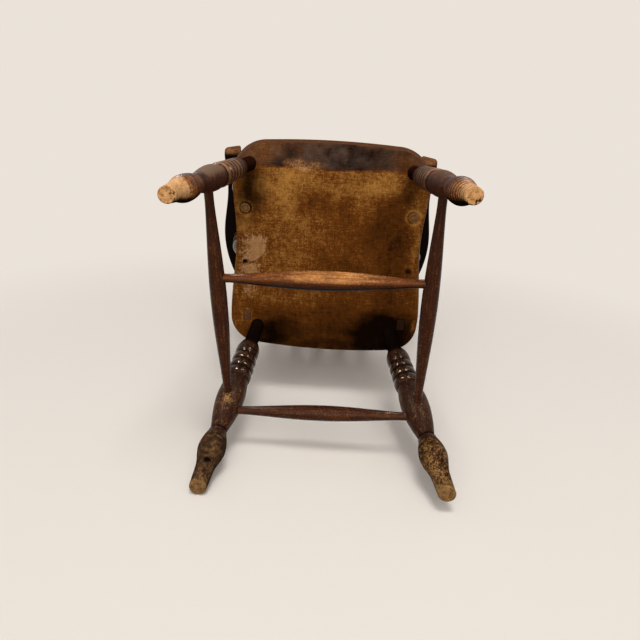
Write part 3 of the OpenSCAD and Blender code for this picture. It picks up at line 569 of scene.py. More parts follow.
def old_wood(name, dark, mid, gold, bare, smoke, gloss, along="Z", streaks=0.5, mottles=0.8, lines=0.0,
             shine=0.4, flecks=0.5, dents=0.3, line_size=1.0, chips=0.9, chip_size=2.8,
             dusty=(84, 64, 52)):
    """Old stained and waxed wood, worn and sooted where the piece's layers say.

    along is the axis of the piece on which the grain runs. streaks, mottles, lines and flecks are
    the strengths of the grain, of cloudy patches, of fine marks across the grain, and of small
    rubbed spots. line_size is how far apart the fine marks are. chips is how broken up the pale
    worn patches are, chip_size how coarsely, and dusty the colour of grimy wood, which also serves
    for a grey painted sheen. dents is the strength of the bumps, shine the roughness of sound finish,
    and gloss the level of its reflection, which soot, painted shade and the layer called dull take
    down. The pale colour bare also paints highlights and lit sides as painted light, and the dark
    colour smoke also paints painted shade.
    """
    material = bpy.data.materials.new(name)
    WOODS[name] = material
    t = Tree(material)
    place = t.add("ShaderNodeAttribute", attribute_name="place").outputs["Vector"]
    light, soot_and_shade_layer, bare_and_light_layer, dull = [t.layer(layer) for layer in ("light", "smoke", "bare", "dull")]
    long = [24 if axis == along else 1 for axis in "XYZ"]
    across = [1 if axis == along else 14 for axis in "XYZ"]
    some = [1.4 if axis == along else 1 for axis in "XYZ"]
    streak = t.noise(place, 2.6, 4, long)
    fibre = t.noise(place, 0.8, 3, long, 5.0)
    line = t.noise(place, line_size, 3, across, 21.0)
    cloudy = t.noise(place, 26, 3, some, 9.0)
    patch = t.noise(place, 9, 3, some, 31.0)
    fleck = t.noise(place, 2.8, 3, some, 3.0)
    chip = t.noise(place, chip_size, 3, some, 3.0)
    speck = t.noise(place, 1.5, 2, (1, 1, 1), 13.0)

    # Sound wood, with its grain and small rubbed spots
    tone = light
    for value, amount in ((streak, streaks), (fibre, 0.7 * streaks), (line, lines), (cloudy, 0.8 * mottles),
                          (patch, 0.8 * mottles), (fleck, mottles)):
        tone = t.plus(value, amount, tone)
    ramp = t.add("ShaderNodeValToRGB", {0: tone})
    first, last = ramp.color_ramp.elements
    first.position, first.color = 0.02, srgb(*dark)
    last.position, last.color = 1.0, srgb(*[min(255, 1.16 * c) for c in gold])
    ramp.color_ramp.elements.new(0.46).color = srgb(*mid)
    ramp.color_ramp.elements.new(0.8).color = srgb(*gold)
    rubbed = t.math("MULTIPLY", t.band(fleck, 0.07, 0.17), t.band(tone, 0.3, 0.9))
    half_bare = [mix(g, b, 0.5) for g, b in zip(gold, bare)]
    colour = t.blend(ramp.outputs[0], srgb(*half_bare), t.math("MULTIPLY", rubbed, flecks))

    # Bare wood, ragged at its edges, in a pale colour that also paints highlights and lit sides as painted
    # light
    bare_and_light_mask = t.band(t.plus(chip, chips, t.plus(streak, 0.4, t.plus(patch, 0.6, bare_and_light_layer))), 0.3, 0.75)
    raw_tone = t.plus(line, lines, t.plus(fibre, 0.5, t.plus(patch, 0.9, fleck)))
    raw_tone = t.plus(t.math("SUBTRACT", light, 0.6), 0.9, raw_tone)
    stained = [0.94 * mix(g, b, 0.2) for g, b in zip(gold, bare)]
    scrubbed = [min(255, 1.1 * b) for b in bare]
    worn = t.blend(srgb(*stained), srgb(*scrubbed), t.band(raw_tone, -0.4, 0.45))
    colour = t.blend(colour, worn, bare_and_light_mask)

    # Soot, grime and pits on both; the soot layer also carries painted shade, and the grime layer a grey
    # painted sheen
    soot_and_shade_mask = t.band(t.plus(cloudy, 0.5, t.plus(fleck, 0.5, soot_and_shade_layer)), 0.1, 1.0)
    colour = t.blend(colour, srgb(*smoke), soot_and_shade_mask)
    dust_mask = t.band(t.plus(streak, 0.4, t.plus(line, 0.5, t.layer("dust"))), 0.05, 1.0)
    colour = t.blend(colour, srgb(*dusty), dust_mask)
    pit = t.band(speck, 0.16, 0.24)
    colour = t.blend(colour, srgb(*[c * 0.6 for c in smoke]), t.math("MULTIPLY", pit, 0.45))
    t.put(colour, t.shader.inputs["Base Color"])

    rough = t.plus(dull, 0.3, t.plus(bare_and_light_mask, 0.25, t.plus(fleck, 0.5, shine)))
    rough = t.plus(soot_and_shade_mask, 0.12, t.math("ADD", dust_mask, rough))
    t.put(t.math("MINIMUM", rough, 0.9), t.shader.inputs["Roughness"])
    t.put((1, 0.72, 0.5, 1), t.shader.inputs["Specular Tint"])
    level = t.plus(dull, -0.6 * gloss, t.plus(soot_and_shade_mask, -0.85 * gloss, gloss))
    t.put(t.math("MAXIMUM", level, 0.0), t.shader.inputs["Specular IOR Level"])
    height = t.plus(pit, -0.8, t.plus(line, lines, t.plus(fleck, 0.6, fibre)))
    bump = t.add("ShaderNodeBump", {"Height": height, "Strength": dents, "Distance": 0.0006})
    t.put(bump.outputs[0], t.shader.inputs["Normal"])


old_wood("seat_wood", (42, 18, 3), (97, 52, 12), (152, 103, 46), (156, 119, 92), (13, 5, 2), 0.05,
         along="Y", streaks=0.25, mottles=0.62, lines=0.55, shine=0.6, flecks=0.45, line_size=1.3,
         dusty=(76, 62, 54))
old_wood("front_leg_wood", (30, 13, 8), (68, 34, 20), (150, 92, 44), (202, 154, 102), (20, 10, 7), 0.16,
         lines=0.8, mottles=0.55, shine=0.28, flecks=0.2, line_size=2.8, dusty=(112, 86, 68))
old_wood("rear_leg_wood", (26, 11, 7), (54, 27, 18), (128, 88, 46), (158, 122, 74), (15, 8, 6), 0.22,
         lines=0.25, mottles=0.6, shine=0.12, flecks=0.8, dents=0.2, line_size=2.0, chips=3.4,
         chip_size=2.0)
old_wood("stretcher_wood", (28, 11, 6), (58, 27, 14), (112, 66, 32), (146, 108, 72), (16, 7, 5), 0.12,
         streaks=0.7, mottles=0.45, shine=0.24, flecks=0.3)
old_wood("worn_stretcher_wood", (40, 16, 6), (98, 50, 19), (172, 112, 58), (190, 138, 84), (22, 10, 6),
         0.16, streaks=0.6, mottles=0.35, shine=0.22, flecks=0.25)
old_wood("turned_wood", (24, 12, 8), (52, 32, 20), (112, 74, 40), (140, 100, 56), (12, 7, 5), 0.12,
         lines=0.3, shine=0.28)
old_wood("arm_wood", (30, 15, 9), (68, 38, 20), (128, 84, 46), (144, 104, 62), (10, 5, 4), 0.12,
         along="Y", shine=0.3)
for back_name, grain_axis in (("back_wood", "Z"), ("rail_wood", "X")):
    old_wood(back_name, (30, 15, 9), (64, 36, 21), (108, 68, 40), (140, 104, 70), (12, 7, 5), 0.12,
             along=grain_axis, shine=0.3)
old_wood("peg_wood", (56, 30, 16), (106, 66, 38), (150, 104, 62), (170, 124, 78), (22, 12, 7), 0.12)


# Seat

def bevel_rise(y):
    """How far the underside has risen at y, with the bevel's arris a little worn."""
    out = -(y + SEAT_FRONT - BEVEL_RUN)
    return BEVEL_RISE / BEVEL_RUN * (out + np.sqrt(out * out + 9)) / 2


def seat_points():
    """Rings of points over the seat, from the middle of its underside to the middle of its top."""
    outline, normal = seat_outline()
    dish_r = (DISH_W ** 2 / 4 + DISH_DEPTH ** 2) / (2 * DISH_DEPTH)
    flare_run = SEAT_THICK - SEAT_ARRIS - SEAT_RIM_R
    rings = []

    def inside(share, top):
        ring = outline * share
        wave = (cloud(np.column_stack([ring, ring[:, 0] * 0]), 60, 5) - 0.5) * 0.6
        if top:
            hollow = SEAT_TOP - DISH_DEPTH + dish_r - np.sqrt(dish_r ** 2 - (ring ** 2).sum(axis=1))
            gap = hollow - SEAT_TOP
            z = SEAT_TOP + (gap - np.sqrt(gap * gap + 0.3)) / 2
        else:
            z = SEAT_UNDER + bevel_rise(ring[:, 1]) + wave * ease((1 - share) * 12)
        rings.append(np.column_stack([ring, z]))

    def edge(share, inset, drop=0.0):
        """A ring on the seat's side, at a share of the way from its lower to its upper edge."""
        low = SEAT_UNDER + bevel_rise(outline[:, 1])
        z = mix(low, SEAT_TOP, share) + drop
        flare = SEAT_FLARE * np.clip((z - SEAT_UNDER - SEAT_ARRIS) / flare_run, 0, 1)
        rings.append(np.column_stack([outline + normal * (flare - inset)[:, None], z]))

    for share in np.linspace(0.004, 0.986, 80):
        inside(share, False)
    for a in np.linspace(0, np.pi / 2, 5):
        edge(0, SEAT_ARRIS * (1 - math.sin(a)), SEAT_ARRIS * (1 - math.cos(a)))
    for share in np.linspace(0.1, 0.82, 12):
        edge(share, 0)
    for a in np.linspace(0.15, np.pi / 2, 8):
        edge(1, SEAT_RIM_R * (1 - math.cos(a)), SEAT_RIM_R * (math.sin(a) - 1))
    for share in np.linspace(0.985, 0.004, 60):
        inside(share, True)
    return rings


def crack_cutter():
    """A narrow open crack round the pale patch, on the underside."""
    width, depth = 0.9, 3
    rings = []
    for s in np.linspace(0, 1, 25):
        a = math.radians(mix(79.8, 23.8, s))
        out = np.array([math.cos(a), math.sin(a)])
        half = width / 2 * math.sin(math.pi * mix(0.08, 0.92, s)) ** 0.6
        middle = CRACK_AT + out * (CRACK_R + 0.8 * math.sin(9 * s))
        near, far = middle - out * half, middle + out * half
        low, high = SEAT_UNDER - PAST, SEAT_UNDER + depth
        rings.append([[*near, low], [*far, low], [*far, high], [*near, high]])
    return cutter(rings)


def seat_cutters():
    """The crack, the legs' blind sockets, the uprights' holes, and the posts' and laths' mortises."""
    cutters = [crack_cutter()]
    # Each cutter reaches out of the board at its open end
    for side in (LEFT, RIGHT):
        for rear in (False, True):
            a, b = foot_point(side, rear), socket_point(side, rear)
            run = np.linalg.norm(b - a)
            cutters.append(round_cutter(a, b, run - 28, run + LEG_TENON + FIT, LEG_TOP_R + 2 * FIT))
        cutters.append(round_cutter(*support_ends(side), start=-30, end=90,
                                    radius=SUPPORT_TENON_R + 2 * FIT))
        cutters.append(round_cutter(*spindle_ends(side), start=-20, end=90,
                                    radius=SPINDLE_HOLE_R + FIT))
        cutters.append(block_cutter(post_centre(side, SEAT_UNDER - PAST),
                                    post_centre(side, SEAT_TOP + PAST),
                                    POST_TENON_W + 4 * FIT, POST_TENON_D + 4 * FIT))
    run = np.array([0, POST_SLOPE, 1])
    for i in LATHS:
        top = lath_centre(i, SEAT_TOP)
        cutters.append(block_cutter(top - LATH_TENON_LEN * run, top + PAST * run,
                                    LATH_FOOT_W + 2 * FIT, LATH_TENON_T + 2 * FIT))
    return cutters


def add_blobs(p, values, blobs, soft=1.1):
    for x, y, wide, deep, amount in blobs:
        values = values + amount * blob(p, (x, y), (wide, deep), soft)
    return values


def underside_wear(p, soft, small):
    """The layers of the seat's underside. Each blob is x, y, half width, half depth and amount."""
    shaken = p + np.column_stack([soft - 0.5, cloud(p, 30, 13) - 0.5, 0 * soft]) * 26
    # The underside is painted golden toward the front and darker toward the back, partly the wood's own
    # tone and partly painted light and shade where the lamps in front light it more
    light = add_blobs(shaken, 0.5 + 0.1 * (soft - 0.5), (
        (-60, 112, 92, 20, -0.02), (-135, 100, 24, 26, 0.06), (-105, -145, 46, 36, 0.18),
        (-92, -90, 36, 40, 0.02), (-60, -150, 40, 40, 0.1), (39, -152, 46, 26, 0.06),
        (107, -158, 40, 24, 0.2), (-80, -40, 50, 60, 0.1), (-172, -58, 12, 24, 0.16),
        (-60, 100, 60, 22, 0.14), (-84, 30, 40, 40, 0.08), (66, 4, 18, 18, 0.08),
        (130, -60, 40, 70, -0.2), (-18, -112, 26, 16, -0.12), (-52, -116, 26, 26, -0.1),
        (35, -80, 40, 44, -0.1), (168, -100, 14, 40, 0.08), (60, 40, 60, 40, -0.12),
        (150, 40, 40, 90, -0.14), (0, 150, 170, 50, -0.16), (-120, 60, 30, 20, 0.05),
        (0, 90, 190, 150, -0.08), (182, -30, 10, 60, 0.16),
    ))
    # Soot and painted shade: the first three blobs, round the front right leg's socket, are a painted
    # shadow of that leg, and the blobs near the back edge are painted shade
    smoke = add_blobs(shaken, 0.06 + 0.1 * (soft - 0.5), (
        (-150, -140, 28, 50, 0.42), (-158, -160, 13, 34, 0.2), (-172, -96, 28, 40, 0.34),
        (165, 172, 70, 50, 0.5), (116, 166, 54, 40, 0.32), (-134, 190, 46, 26, 0.5),
        (-82, 170, 40, 22, 0.26), (120, -20, 44, 110, 0.1), (150, 80, 40, 90, 0.22),
        (30, 194, 150, 34, 0.24), (158, -144, 16, 34, 0.36), (30, 60, 90, 50, 0.1),
        (40, 205, 180, 14, 0.3), (20, 150, 190, 70, 0.18), (60, 150, 80, 30, 0.2),
        (-110, 150, 40, 20, 0.2),
    ))
    # A dark band runs from a front leg toward the middle
    across = blob(shaken, (102, -70), (104, 30), 1.4, turn=-54)
    smoke += 0.2 * across
    light -= 0.06 * across
    # The bevelled front is browner in two places, sooty in others and grimy between
    front = ease((-177 - p[:, 1] + 12 * (cloud(p, 26, 4) - 0.5)) / 9)
    brown = add_blobs(shaken, 0 * soft, ((-140, -212, 62, 26, 1.0), (150, -200, 34, 20, 0.5)))
    sooty = add_blobs(shaken, 0 * soft, (
        (20, -196, 70, 30, 0.22), (-98, -200, 24, 24, 0.3), (170, -190, 30, 24, -0.2),
    ))
    smoke = mix(smoke, 0.62 - 0.42 * brown + sooty + 1.0 * (soft - 0.5), front)
    light = mix(light, 0.3 + 0.08 * brown + 0.2 * (small - 0.5), front)
    dust = front * (0.4 + 0.5 * (small - 0.5) - 0.7 * (soft - 0.5)) * (1 - 0.2 * brown)
    bare = add_blobs(shaken, 0.02 + 0.1 * (small - 0.5), (
        (-154, -4, 32, 38, 0.6), (-140, -6, 18, 30, 0.3), (-164, 44, 24, 18, 0.5),
        (-160, 80, 20, 30, 0.45), (-54, -187, 42, 9, 0.5), (191, 146, 9, 22, 0.3),
        (-170, -62, 12, 14, 0.15),
    ), soft=1.4)
    # The pale patch ends at the crack round it
    outside = np.hypot(p[:, 0] - CRACK_AT[0], p[:, 1] - CRACK_AT[1]) > CRACK_R
    bare = np.where(outside & (p[:, 1] > -30) & (p[:, 1] < 24) & (p[:, 0] < -100), bare * 0.25, bare)
    smoke = smoke * (1 - 0.8 * ease((bare - 0.2) / 0.2))
    # Round the holes lies a dark ring, with a lighter one round that
    for side in (LEFT, RIGHT):
        for ends, radius, lit in ((support_ends(side), 10, 0.25), (spindle_ends(side), 5.4, 0.08)):
            far = np.hypot(*(p[:, :2] - ends[0][:2]).T)
            smoke += 0.35 * np.exp(-((far - radius - 1.5) / 1.5) ** 2)
            light += lit * np.exp(-((far - radius - 5) / 3) ** 2)
        foot = post_centre(side, SEAT_UNDER)
        far = np.maximum(np.abs(p[:, 0] - foot[0]) - POST_TENON_W / 2,
                         np.abs(p[:, 1] - foot[1]) - POST_TENON_D / 2)
        smoke += 0.15 * np.exp(-((far - 0.8) / 1.2) ** 2)
        light += 0.2 * np.exp(-((far - 2) / 2) ** 2)
    return light, smoke, bare, dust


def paint_seat(seat):
    p = places(seat)
    soft, small = cloud(p, 34, 11), cloud(p, 14, 12)
    light, smoke, bare, dust = underside_wear(p, soft, small)
    below = p[:, 2] < SEAT_UNDER + bevel_rise(p[:, 1]) + 1.2
    sat_on = blob(p, (0, 20), (165, 165), 1.0)
    light = np.where(below, light, 0.34 + 0.3 * sat_on + 0.2 * (soft - 0.5))
    smoke = np.where(below, smoke, 0.3 - 0.25 * sat_on + 0.2 * (small - 0.5))
    bare = np.where(below, bare, 0.08 + 0.3 * sat_on + 0.2 * (soft - 0.5))
    rim = (p[:, 2] > SEAT_TOP - SEAT_RIM_R) & (side_half(p[:, 1]) - np.abs(p[:, 0]) < 4)
    bare = np.where(rim, bare + 0.15, bare)
    light = np.where(rim, light + 0.15, light)
    lip = ~below & (p[:, 2] < SEAT_TOP - SEAT_RIM_R)
    smoke = np.where(lip, 0.35 + 0.3 * (soft - 0.5), smoke)
    paint(seat, light=light, smoke=smoke, bare=bare, dust=np.where(below, dust, 0))


def add_seat():
    rings = seat_points()
    seat = make("seat_board", "seat", "seat_wood", np.vstack(rings), tube_faces(len(rings), len(rings[0])))
    cut(seat, seat_cutters())
    paint_seat(seat)


# Legs

def leg_rows(length, rear):
    """Rows of a leg's turning from its foot up; a front leg's foot has lost FRONT_WEAR of its length."""
    wear = 0 if rear else FRONT_WEAR
    foot_r, bulb_r, vase_r, bead_r = (15.5, 25.5, 27.5, 26) if rear else (13.5, 22, 23, 22.5)
    heights = (36, 82, 208, 257) if rear else (28, 72, 192, 224)
    bulb_from, bulb_mid, vase_mid, vase_end = np.array(heights) - wear
    neck = LEG_NECK_AT - wear
    count, bead_w = (3, 21) if rear else (5, 17.5)
    flared_r = foot_r + FOOT_FLARE
    groove_r = bead_r - BEAD_GROOVE
    last_groove_r, shoulder_r = groove_r - BEAD_TAPER * (count - 1), bead_r - BEAD_TAPER * count
    beads_to = vase_end + count * bead_w
    shoulder_at = beads_to + 0.3 * SHOULDER_LEN
    arris = 1.6
    parts = [
        [[0, foot_r * s] for s in (0.02, *np.linspace(0.08, 0.9, 13))],
        [[arris * (1 - math.cos(a)), foot_r - arris * (1 - math.sin(a))] for a in np.linspace(0, 1.5, 4)],
        stretch(3, bulb_from, lambda s: mix(foot_r, flared_r, s), 14),
        stretch(bulb_from, bulb_mid, lambda s: mix(flared_r, bulb_r, ease(s)), 56),
        stretch(bulb_mid, neck, lambda s: swell(LEG_NECK_R, bulb_r, 1 - s), 60),
        stretch(neck, vase_mid, lambda s: swell(LEG_NECK_R, vase_r, s), 44),
        stretch(vase_mid, vase_end, lambda s: swell(groove_r - VASE_END_DROP, vase_r, 1 - s), 26),
    ]
    for k in range(count):
        parts.append(stretch(vase_end + bead_w * k, vase_end + bead_w * (k + 1), lambda s, k=k:
                             mix(groove_r, bead_r, np.sin(np.pi * s) ** 0.8) - BEAD_TAPER * k, 18))
    parts += [
        stretch(beads_to, shoulder_at, lambda s: swell(last_groove_r, shoulder_r, s), 10),
        stretch(shoulder_at, beads_to + SHOULDER_LEN, lambda s: swell(LEG_TOP_R, shoulder_r, 1 - s), 26),
        [[length - 4, LEG_TOP_R], [length + LEG_TENON - 2, LEG_TOP_R], [length + LEG_TENON, 12.5]],
    ]
    rows = np.vstack(parts)
    # A small collar where the bulb meets the vase
    rows[:, 1] += 1.1 * np.exp(-((rows[:, 0] - neck + 3) / 2.2) ** 2)
    return rows


class Leg:
    """A leg's piece and, for each of its points, what its wear is worked out from.

    h is the height along the unworn leg. foot is 1 below the neck, beaded is 1 on the beads and tip
    is true on the foot's end. upper is how squarely a point faces the chair's front and the floor,
    from -1 to 1, and under is 1 on the side away from there. patchy, small and tiny are noises.
    """

    def __init__(self, side, rear):
        node = "leg_" + ("rear_" if rear else "front_") + side_name(side)
        seed = 7 * rear + 3 * side
        a, b = foot_point(side, rear), socket_point(side, rear)
        length = np.linalg.norm(b - a)
        self.side, self.seed, self.bottom, self.axis = side, seed, a, (b - a) / length
        self.piece, h, ridge, self.away = turned(node, "rear_leg_wood" if rear else "front_leg_wood", a, b,
                                                 leg_rows(length, rear), seed, flat_end=30)
        self.h = h = h + (0 if rear else FRONT_WEAR)
        self.p = p = places(self.piece)
        self.patchy, self.small = cloud(p, 26, seed + 40), cloud(p, 9, seed + 50, 2)
        self.tiny = cloud(p, 4.5, seed + 70, 2)
        self.upper = self.away @ np.array([0.1 * side, -0.85, -0.5])
        self.under = ease((-self.upper - 0.1) / 0.7)
        self.foot = 1 - ease((h - 98) / 24)
        self.tip = p[:, 2] < 0.4
        beads_from, beads_to = (256, 340) if rear else (222, 324)
        self.beaded = beaded = between(h, beads_from, 4, beads_to, 6)
        self.light = 0.42 + 0.07 * ridge + 0.25 * (self.patchy - 0.5)
        # On the beads the ridges are painted lighter, partly wear and partly painted highlight
        self.light += beaded * (0.1 * ridge - 0.02 if rear else 0.5 * ridge - 0.04)
        # The side away from the lamps is darkened as painted shade
        smoke = 0.2 - 0.14 * ridge + 0.2 * (cloud(p, 40, seed + 60) - 0.5) + 0.15 * self.under
        # A ring of painted shade in the crease where the bulb meets the vase
        smoke += 0.4 * np.exp(-((h - LEG_NECK_AT) / 2.5) ** 2)
        # The beads' grooves are darker, partly grime and partly painted shade
        smoke += beaded * (0.34 - 0.34 * ridge if rear else 0.5 - 0.66 * ridge)
        # The leg's top, under the seat, is painted dark as painted shade
        self.smoke = smoke + (0.7 if rear else 0.4) * ease((h - beads_to) / 20)

    def spot(self, high, tall, toward, wide):
        """A round spot at a height on the side that looks toward a direction; wide is in degrees."""
        facing = np.array(toward) - (np.array(toward) @ self.axis) * self.axis
        turn = np.degrees(np.arccos(np.clip(self.away @ (facing / np.linalg.norm(facing)), -1, 1)))
        return np.exp(-((self.h - high) / tall) ** 2 - (turn / wide) ** 2)


def rear_leg_wear(leg):
    """A rear leg is rubbed in small flakes below its neck; the right one is also worn higher up."""
    h, light, smoke, under, foot, tip = leg.h, leg.light, leg.smoke, leg.under, leg.foot, leg.tip
    small, tiny = leg.small - 0.5, leg.tiny - 0.5
    left = leg.side == LEFT
    lowest = 1 - ease((h - 22) / 30)
    # Less pale wood shows on the side away from the lamps, as painted shade
    rubbed = 0.12 + 0.8 * tiny + 0.3 * small + 0.12 * lowest - 0.2 * under
    if left:
        rubbed += 0.24 + 0.3 * leg.spot(52, 26, (-0.7, -0.4, -0.6), 50)
    bare = -0.14 + foot * (rubbed + 0.14) + 0.3 * (1 - ease((h - 8) / 16))
    light += foot * ((0.1 if left else 0.2) + 0.3 * tiny) - 0.08 * (1 - foot)
    # The foot is sooty, and its side away from the lamps is painted dark as painted shade
    smoke += foot * (0.5 + 0.6 * small + 0.6 * under - 0.5 * rubbed)
    dust = 0.1 * foot + 0.2 * tip if left else 0.36 * foot
    if not left:
        scorch = leg.spot(47, 4, (0.1, -0.5, -0.84), 17)
        smoke += 0.6 * scorch
        bare -= scorch
        dust -= 0.5 * scorch
        light += 0.3 * leg.spot(70, 9, (0.1, -0.5, -0.84), 32)
        worn = between(h, 142, 24, 236, 20) * ease((leg.upper + 0.1) / 0.6)
        worn = worn * ease((leg.away @ np.array([-1, 0, 0]) + 0.3) / 0.6)
        stretcher_at = (side_end(leg.side, True) - leg.bottom) @ leg.axis
        knocked = leg.spot(stretcher_at - 12, 14, (0.02, -0.6, -0.75), 25)
        light += 0.04 * worn + 0.25 * knocked
        bare += worn * (0.14 + 0.5 * (leg.tiny - 0.4)) + knocked * (0.1 + 1.0 * leg.tiny)
    bare = np.where(tip, 0.85 + 0.5 * tiny, bare)
    light = np.where(tip, 0.44 + 0.5 * tiny, light)
    smoke = np.where(tip, 0.12 + 0.5 * small, smoke)
    return light, smoke, bare, dust


def front_leg_wear(leg):
    """A front leg is scrubbed pale at its foot, most on the side toward the lamps as painted light, and
    ringed on its bulb; its vase has painted light and a grey painted sheen on that side, one bead a painted
    glint, and the side away from the lamps painted shade.
    """
    h, light, smoke, under, foot, tip = leg.h, leg.light, leg.smoke, leg.under, leg.foot, leg.tip
    patchy, small, tiny = leg.patchy - 0.5, leg.small - 0.5, leg.tiny - 0.5
    left = leg.side == LEFT
    fade = 1 - ease((h - (22 if left else 42)) / 34)
    rings = np.sin(2 * np.pi * h / 7.5 + 3 * leg.patchy) * (0.3 + leg.small) * (0.7 if left else 0.2)
    # The foot's pale wood is scrubbed wear, and paler on the side toward the lamps as painted light
    bare = fade * (0.25 + 0.55 * (1 - under)) + 0.4 * patchy * foot - 0.2 * rings * foot
    scrubbed = (0.36 if left else 0.42) - 0.38 * ease((h - 40) / 40) + 0.4 * small + 0.2 * patchy
    light += foot * scrubbed - 0.1 * (1 - foot) - 0.36 * rings * foot
    # The foot's side away from the lamps is painted dark as painted shade
    smoke += foot * (0.9 * under - 0.14 + 0.4 * small + 0.6 * np.maximum(rings, 0))
    # On the side toward the lamps the vase and neck are painted lighter and grey as a painted sheen
    worn = between(h, 128, 20, 262, 20) * ease((leg.upper - 0.1) / 0.6)
    light += 0.16 * worn
    smoke -= 0.12 * worn
    if not left:
        light += 0.14 * leg.beaded
        smoke -= 0.1 * leg.beaded
    # Grey painted sheen on that side of the vase and on the beads
    dust = (0.4 if left else 1.0) * worn * ease((226 - h) / 10) + 0.3 * leg.beaded
    bare = np.where(tip, 0.9, bare)
    light = np.where(tip, 0.72 + 0.6 * tiny, light)
    # Dark nicks in the foot's end, most of them near its edge on one side
    toward = np.array([0.3, 1, 0] if left else [1, 0.6, 0])
    nick = cloud(leg.p, 2.4, leg.seed + 80, 1) + 0.24 * ease((leg.away @ toward - 0.3) / 0.6)
    nick += 0.12 * ease((np.hypot(*(leg.p - leg.bottom)[:, :2].T) - 8) / 4)
    smoke = np.where(tip, 0.85 * ease((nick - 0.84) / 0.1), smoke)
    # A painted glint: a small bright spot on a bead of the front right leg where a lamp's highlight falls
    if not left:
        rubbed = leg.spot(240, 4.5, (0.3, -0.3, -0.9), 11)
        bare += 1.6 * rubbed
        light += 1.2 * rubbed
        smoke -= rubbed
        dust -= rubbed
    return light, smoke, bare, dust


def add_leg(side, rear):
    leg = Leg(side, rear)
    light, smoke, bare, dust = rear_leg_wear(leg) if rear else front_leg_wear(leg)
    paint(leg.piece, light=light, smoke=smoke, bare=bare, dust=dust, dull=1 - leg.beaded)


# Stretchers

def stretcher_rows(length, stop, straight, mid_r):
    half = length / 2
    end_r, shoulder_r = STRETCHER_END_R, 0.9 * STRETCHER_END_R
    out = stretch(straight, half, lambda s: mix(end_r, mid_r, np.sin(np.pi / 2 * s) ** 1.3), 40)
    back = [[length - d, r] for d, r in out[::-1]]
    first = [[stop, shoulder_r], [stop + 1, end_r]]
    last = [[length - stop - 1, end_r], [length - stop, shoulder_r]]
    return np.vstack([first, stretch(stop + 3, straight, lambda s: end_r, 10), out, [[half, mid_r]],
                      back, last])


def add_stretcher(node, slot, ends, stop, straight, mid_r, seed, wear):
    a, b = ends
    length = np.linalg.norm(b - a)
    piece, h, ridge, away = turned(node, slot, a, b, stretcher_rows(length, stop, straight, mid_r), seed,
                                   sides=56)
    paint(piece, **wear(places(piece), h / length, away, seed))


def plain_wear(p, s, away, seed):
    """Wear that is alike along the whole stretcher, so the share s plays no part; the side that faces the
    front and down, toward the lamps, is painted lighter as painted light.
    """
    patchy, tiny = cloud(p, 30, seed), cloud(p, 6, seed + 1, 2)
    low = away @ np.array([0, -0.6, -0.8])
    # The side facing the front and down, toward the lamps, is painted lighter and less dark as painted
    # light
    light = 0.31 + 0.3 * (patchy - 0.5) + 0.12 * low
    bare = 0.06 + 1.1 * (tiny - 0.64) * (patchy > 0.5) + 0.1 * low
    return {"light": light, "smoke": 0.3 - 0.16 * low + 0.3 * (patchy - 0.5), "bare": bare}


def cross_wear(p, s, away, seed):
    """The cross stretcher is polished pale in front, most of all from its middle to the left; its side
    toward the lamps is painted lighter as painted light, and its far side dark as painted shade.
    """
    patchy = cloud(p, 30, seed)
    up = away @ np.array([0, -0.96, -0.28])
    lit = ease(up / 0.6)
    worn = between(s, 0.14, 0.34, 0.89, 0.26)
    light = 0.16 + 0.24 * (patchy - 0.5) + lit * mix(0.2, 0.56, worn)
    bare = 0.02 + 0.34 * lit * worn * (0.6 + 0.6 * patchy)
    # The far side is painted dark as painted shade
    smoke = 0.34 - 0.38 * lit + 0.75 * ease((-up - 0.05) / 0.45)
    return {"light": light, "smoke": smoke, "bare": bare}


def add_stretchers():
    neck = 37.5
    for side in (LEFT, RIGHT):
        add_stretcher("stretcher_side_" + side_name(side), "stretcher_wood",
                      (side_end(side, False), side_end(side, True)), LEG_TENON_STOP, neck, SIDE_MID_R,
                      70 + side, plain_wear)
    add_stretcher("stretcher_cross", "worn_stretcher_wood", (cross_end(RIGHT), cross_end(LEFT)),
                  CROSS_TENON_STOP, 25, CROSS_MID_R, 75, cross_wear)
    add_stretcher("stretcher_back", "stretcher_wood", (back_end(RIGHT), back_end(LEFT)),
                  LEG_TENON_STOP, neck, SIDE_MID_R, 77, plain_wear)


# Supports and spindles of the arms

def upper_rows(length, beads_from, bead_w, bead_h):
    """Rows of three beads, of the stem above them and of the tenon in the arm."""
    rows = [stretch(beads_from + bead_w * k, beads_from + bead_w * (k + 1),
                    lambda s, k=k: STEM_R + (bead_h - k) * np.sin(np.pi * s), 14) for k in range(3)]
    beads_to, shoulder = beads_from + 3 * bead_w, length - HEAD_NECK
    rows.append([[beads_to, STEM_R], [mix(beads_to, shoulder, 0.5), HEAD_TENON_R],
                 [shoulder, HEAD_TENON_R], [length + HEAD_TENON_LEN - FIT, HEAD_TENON_R]])
    return rows


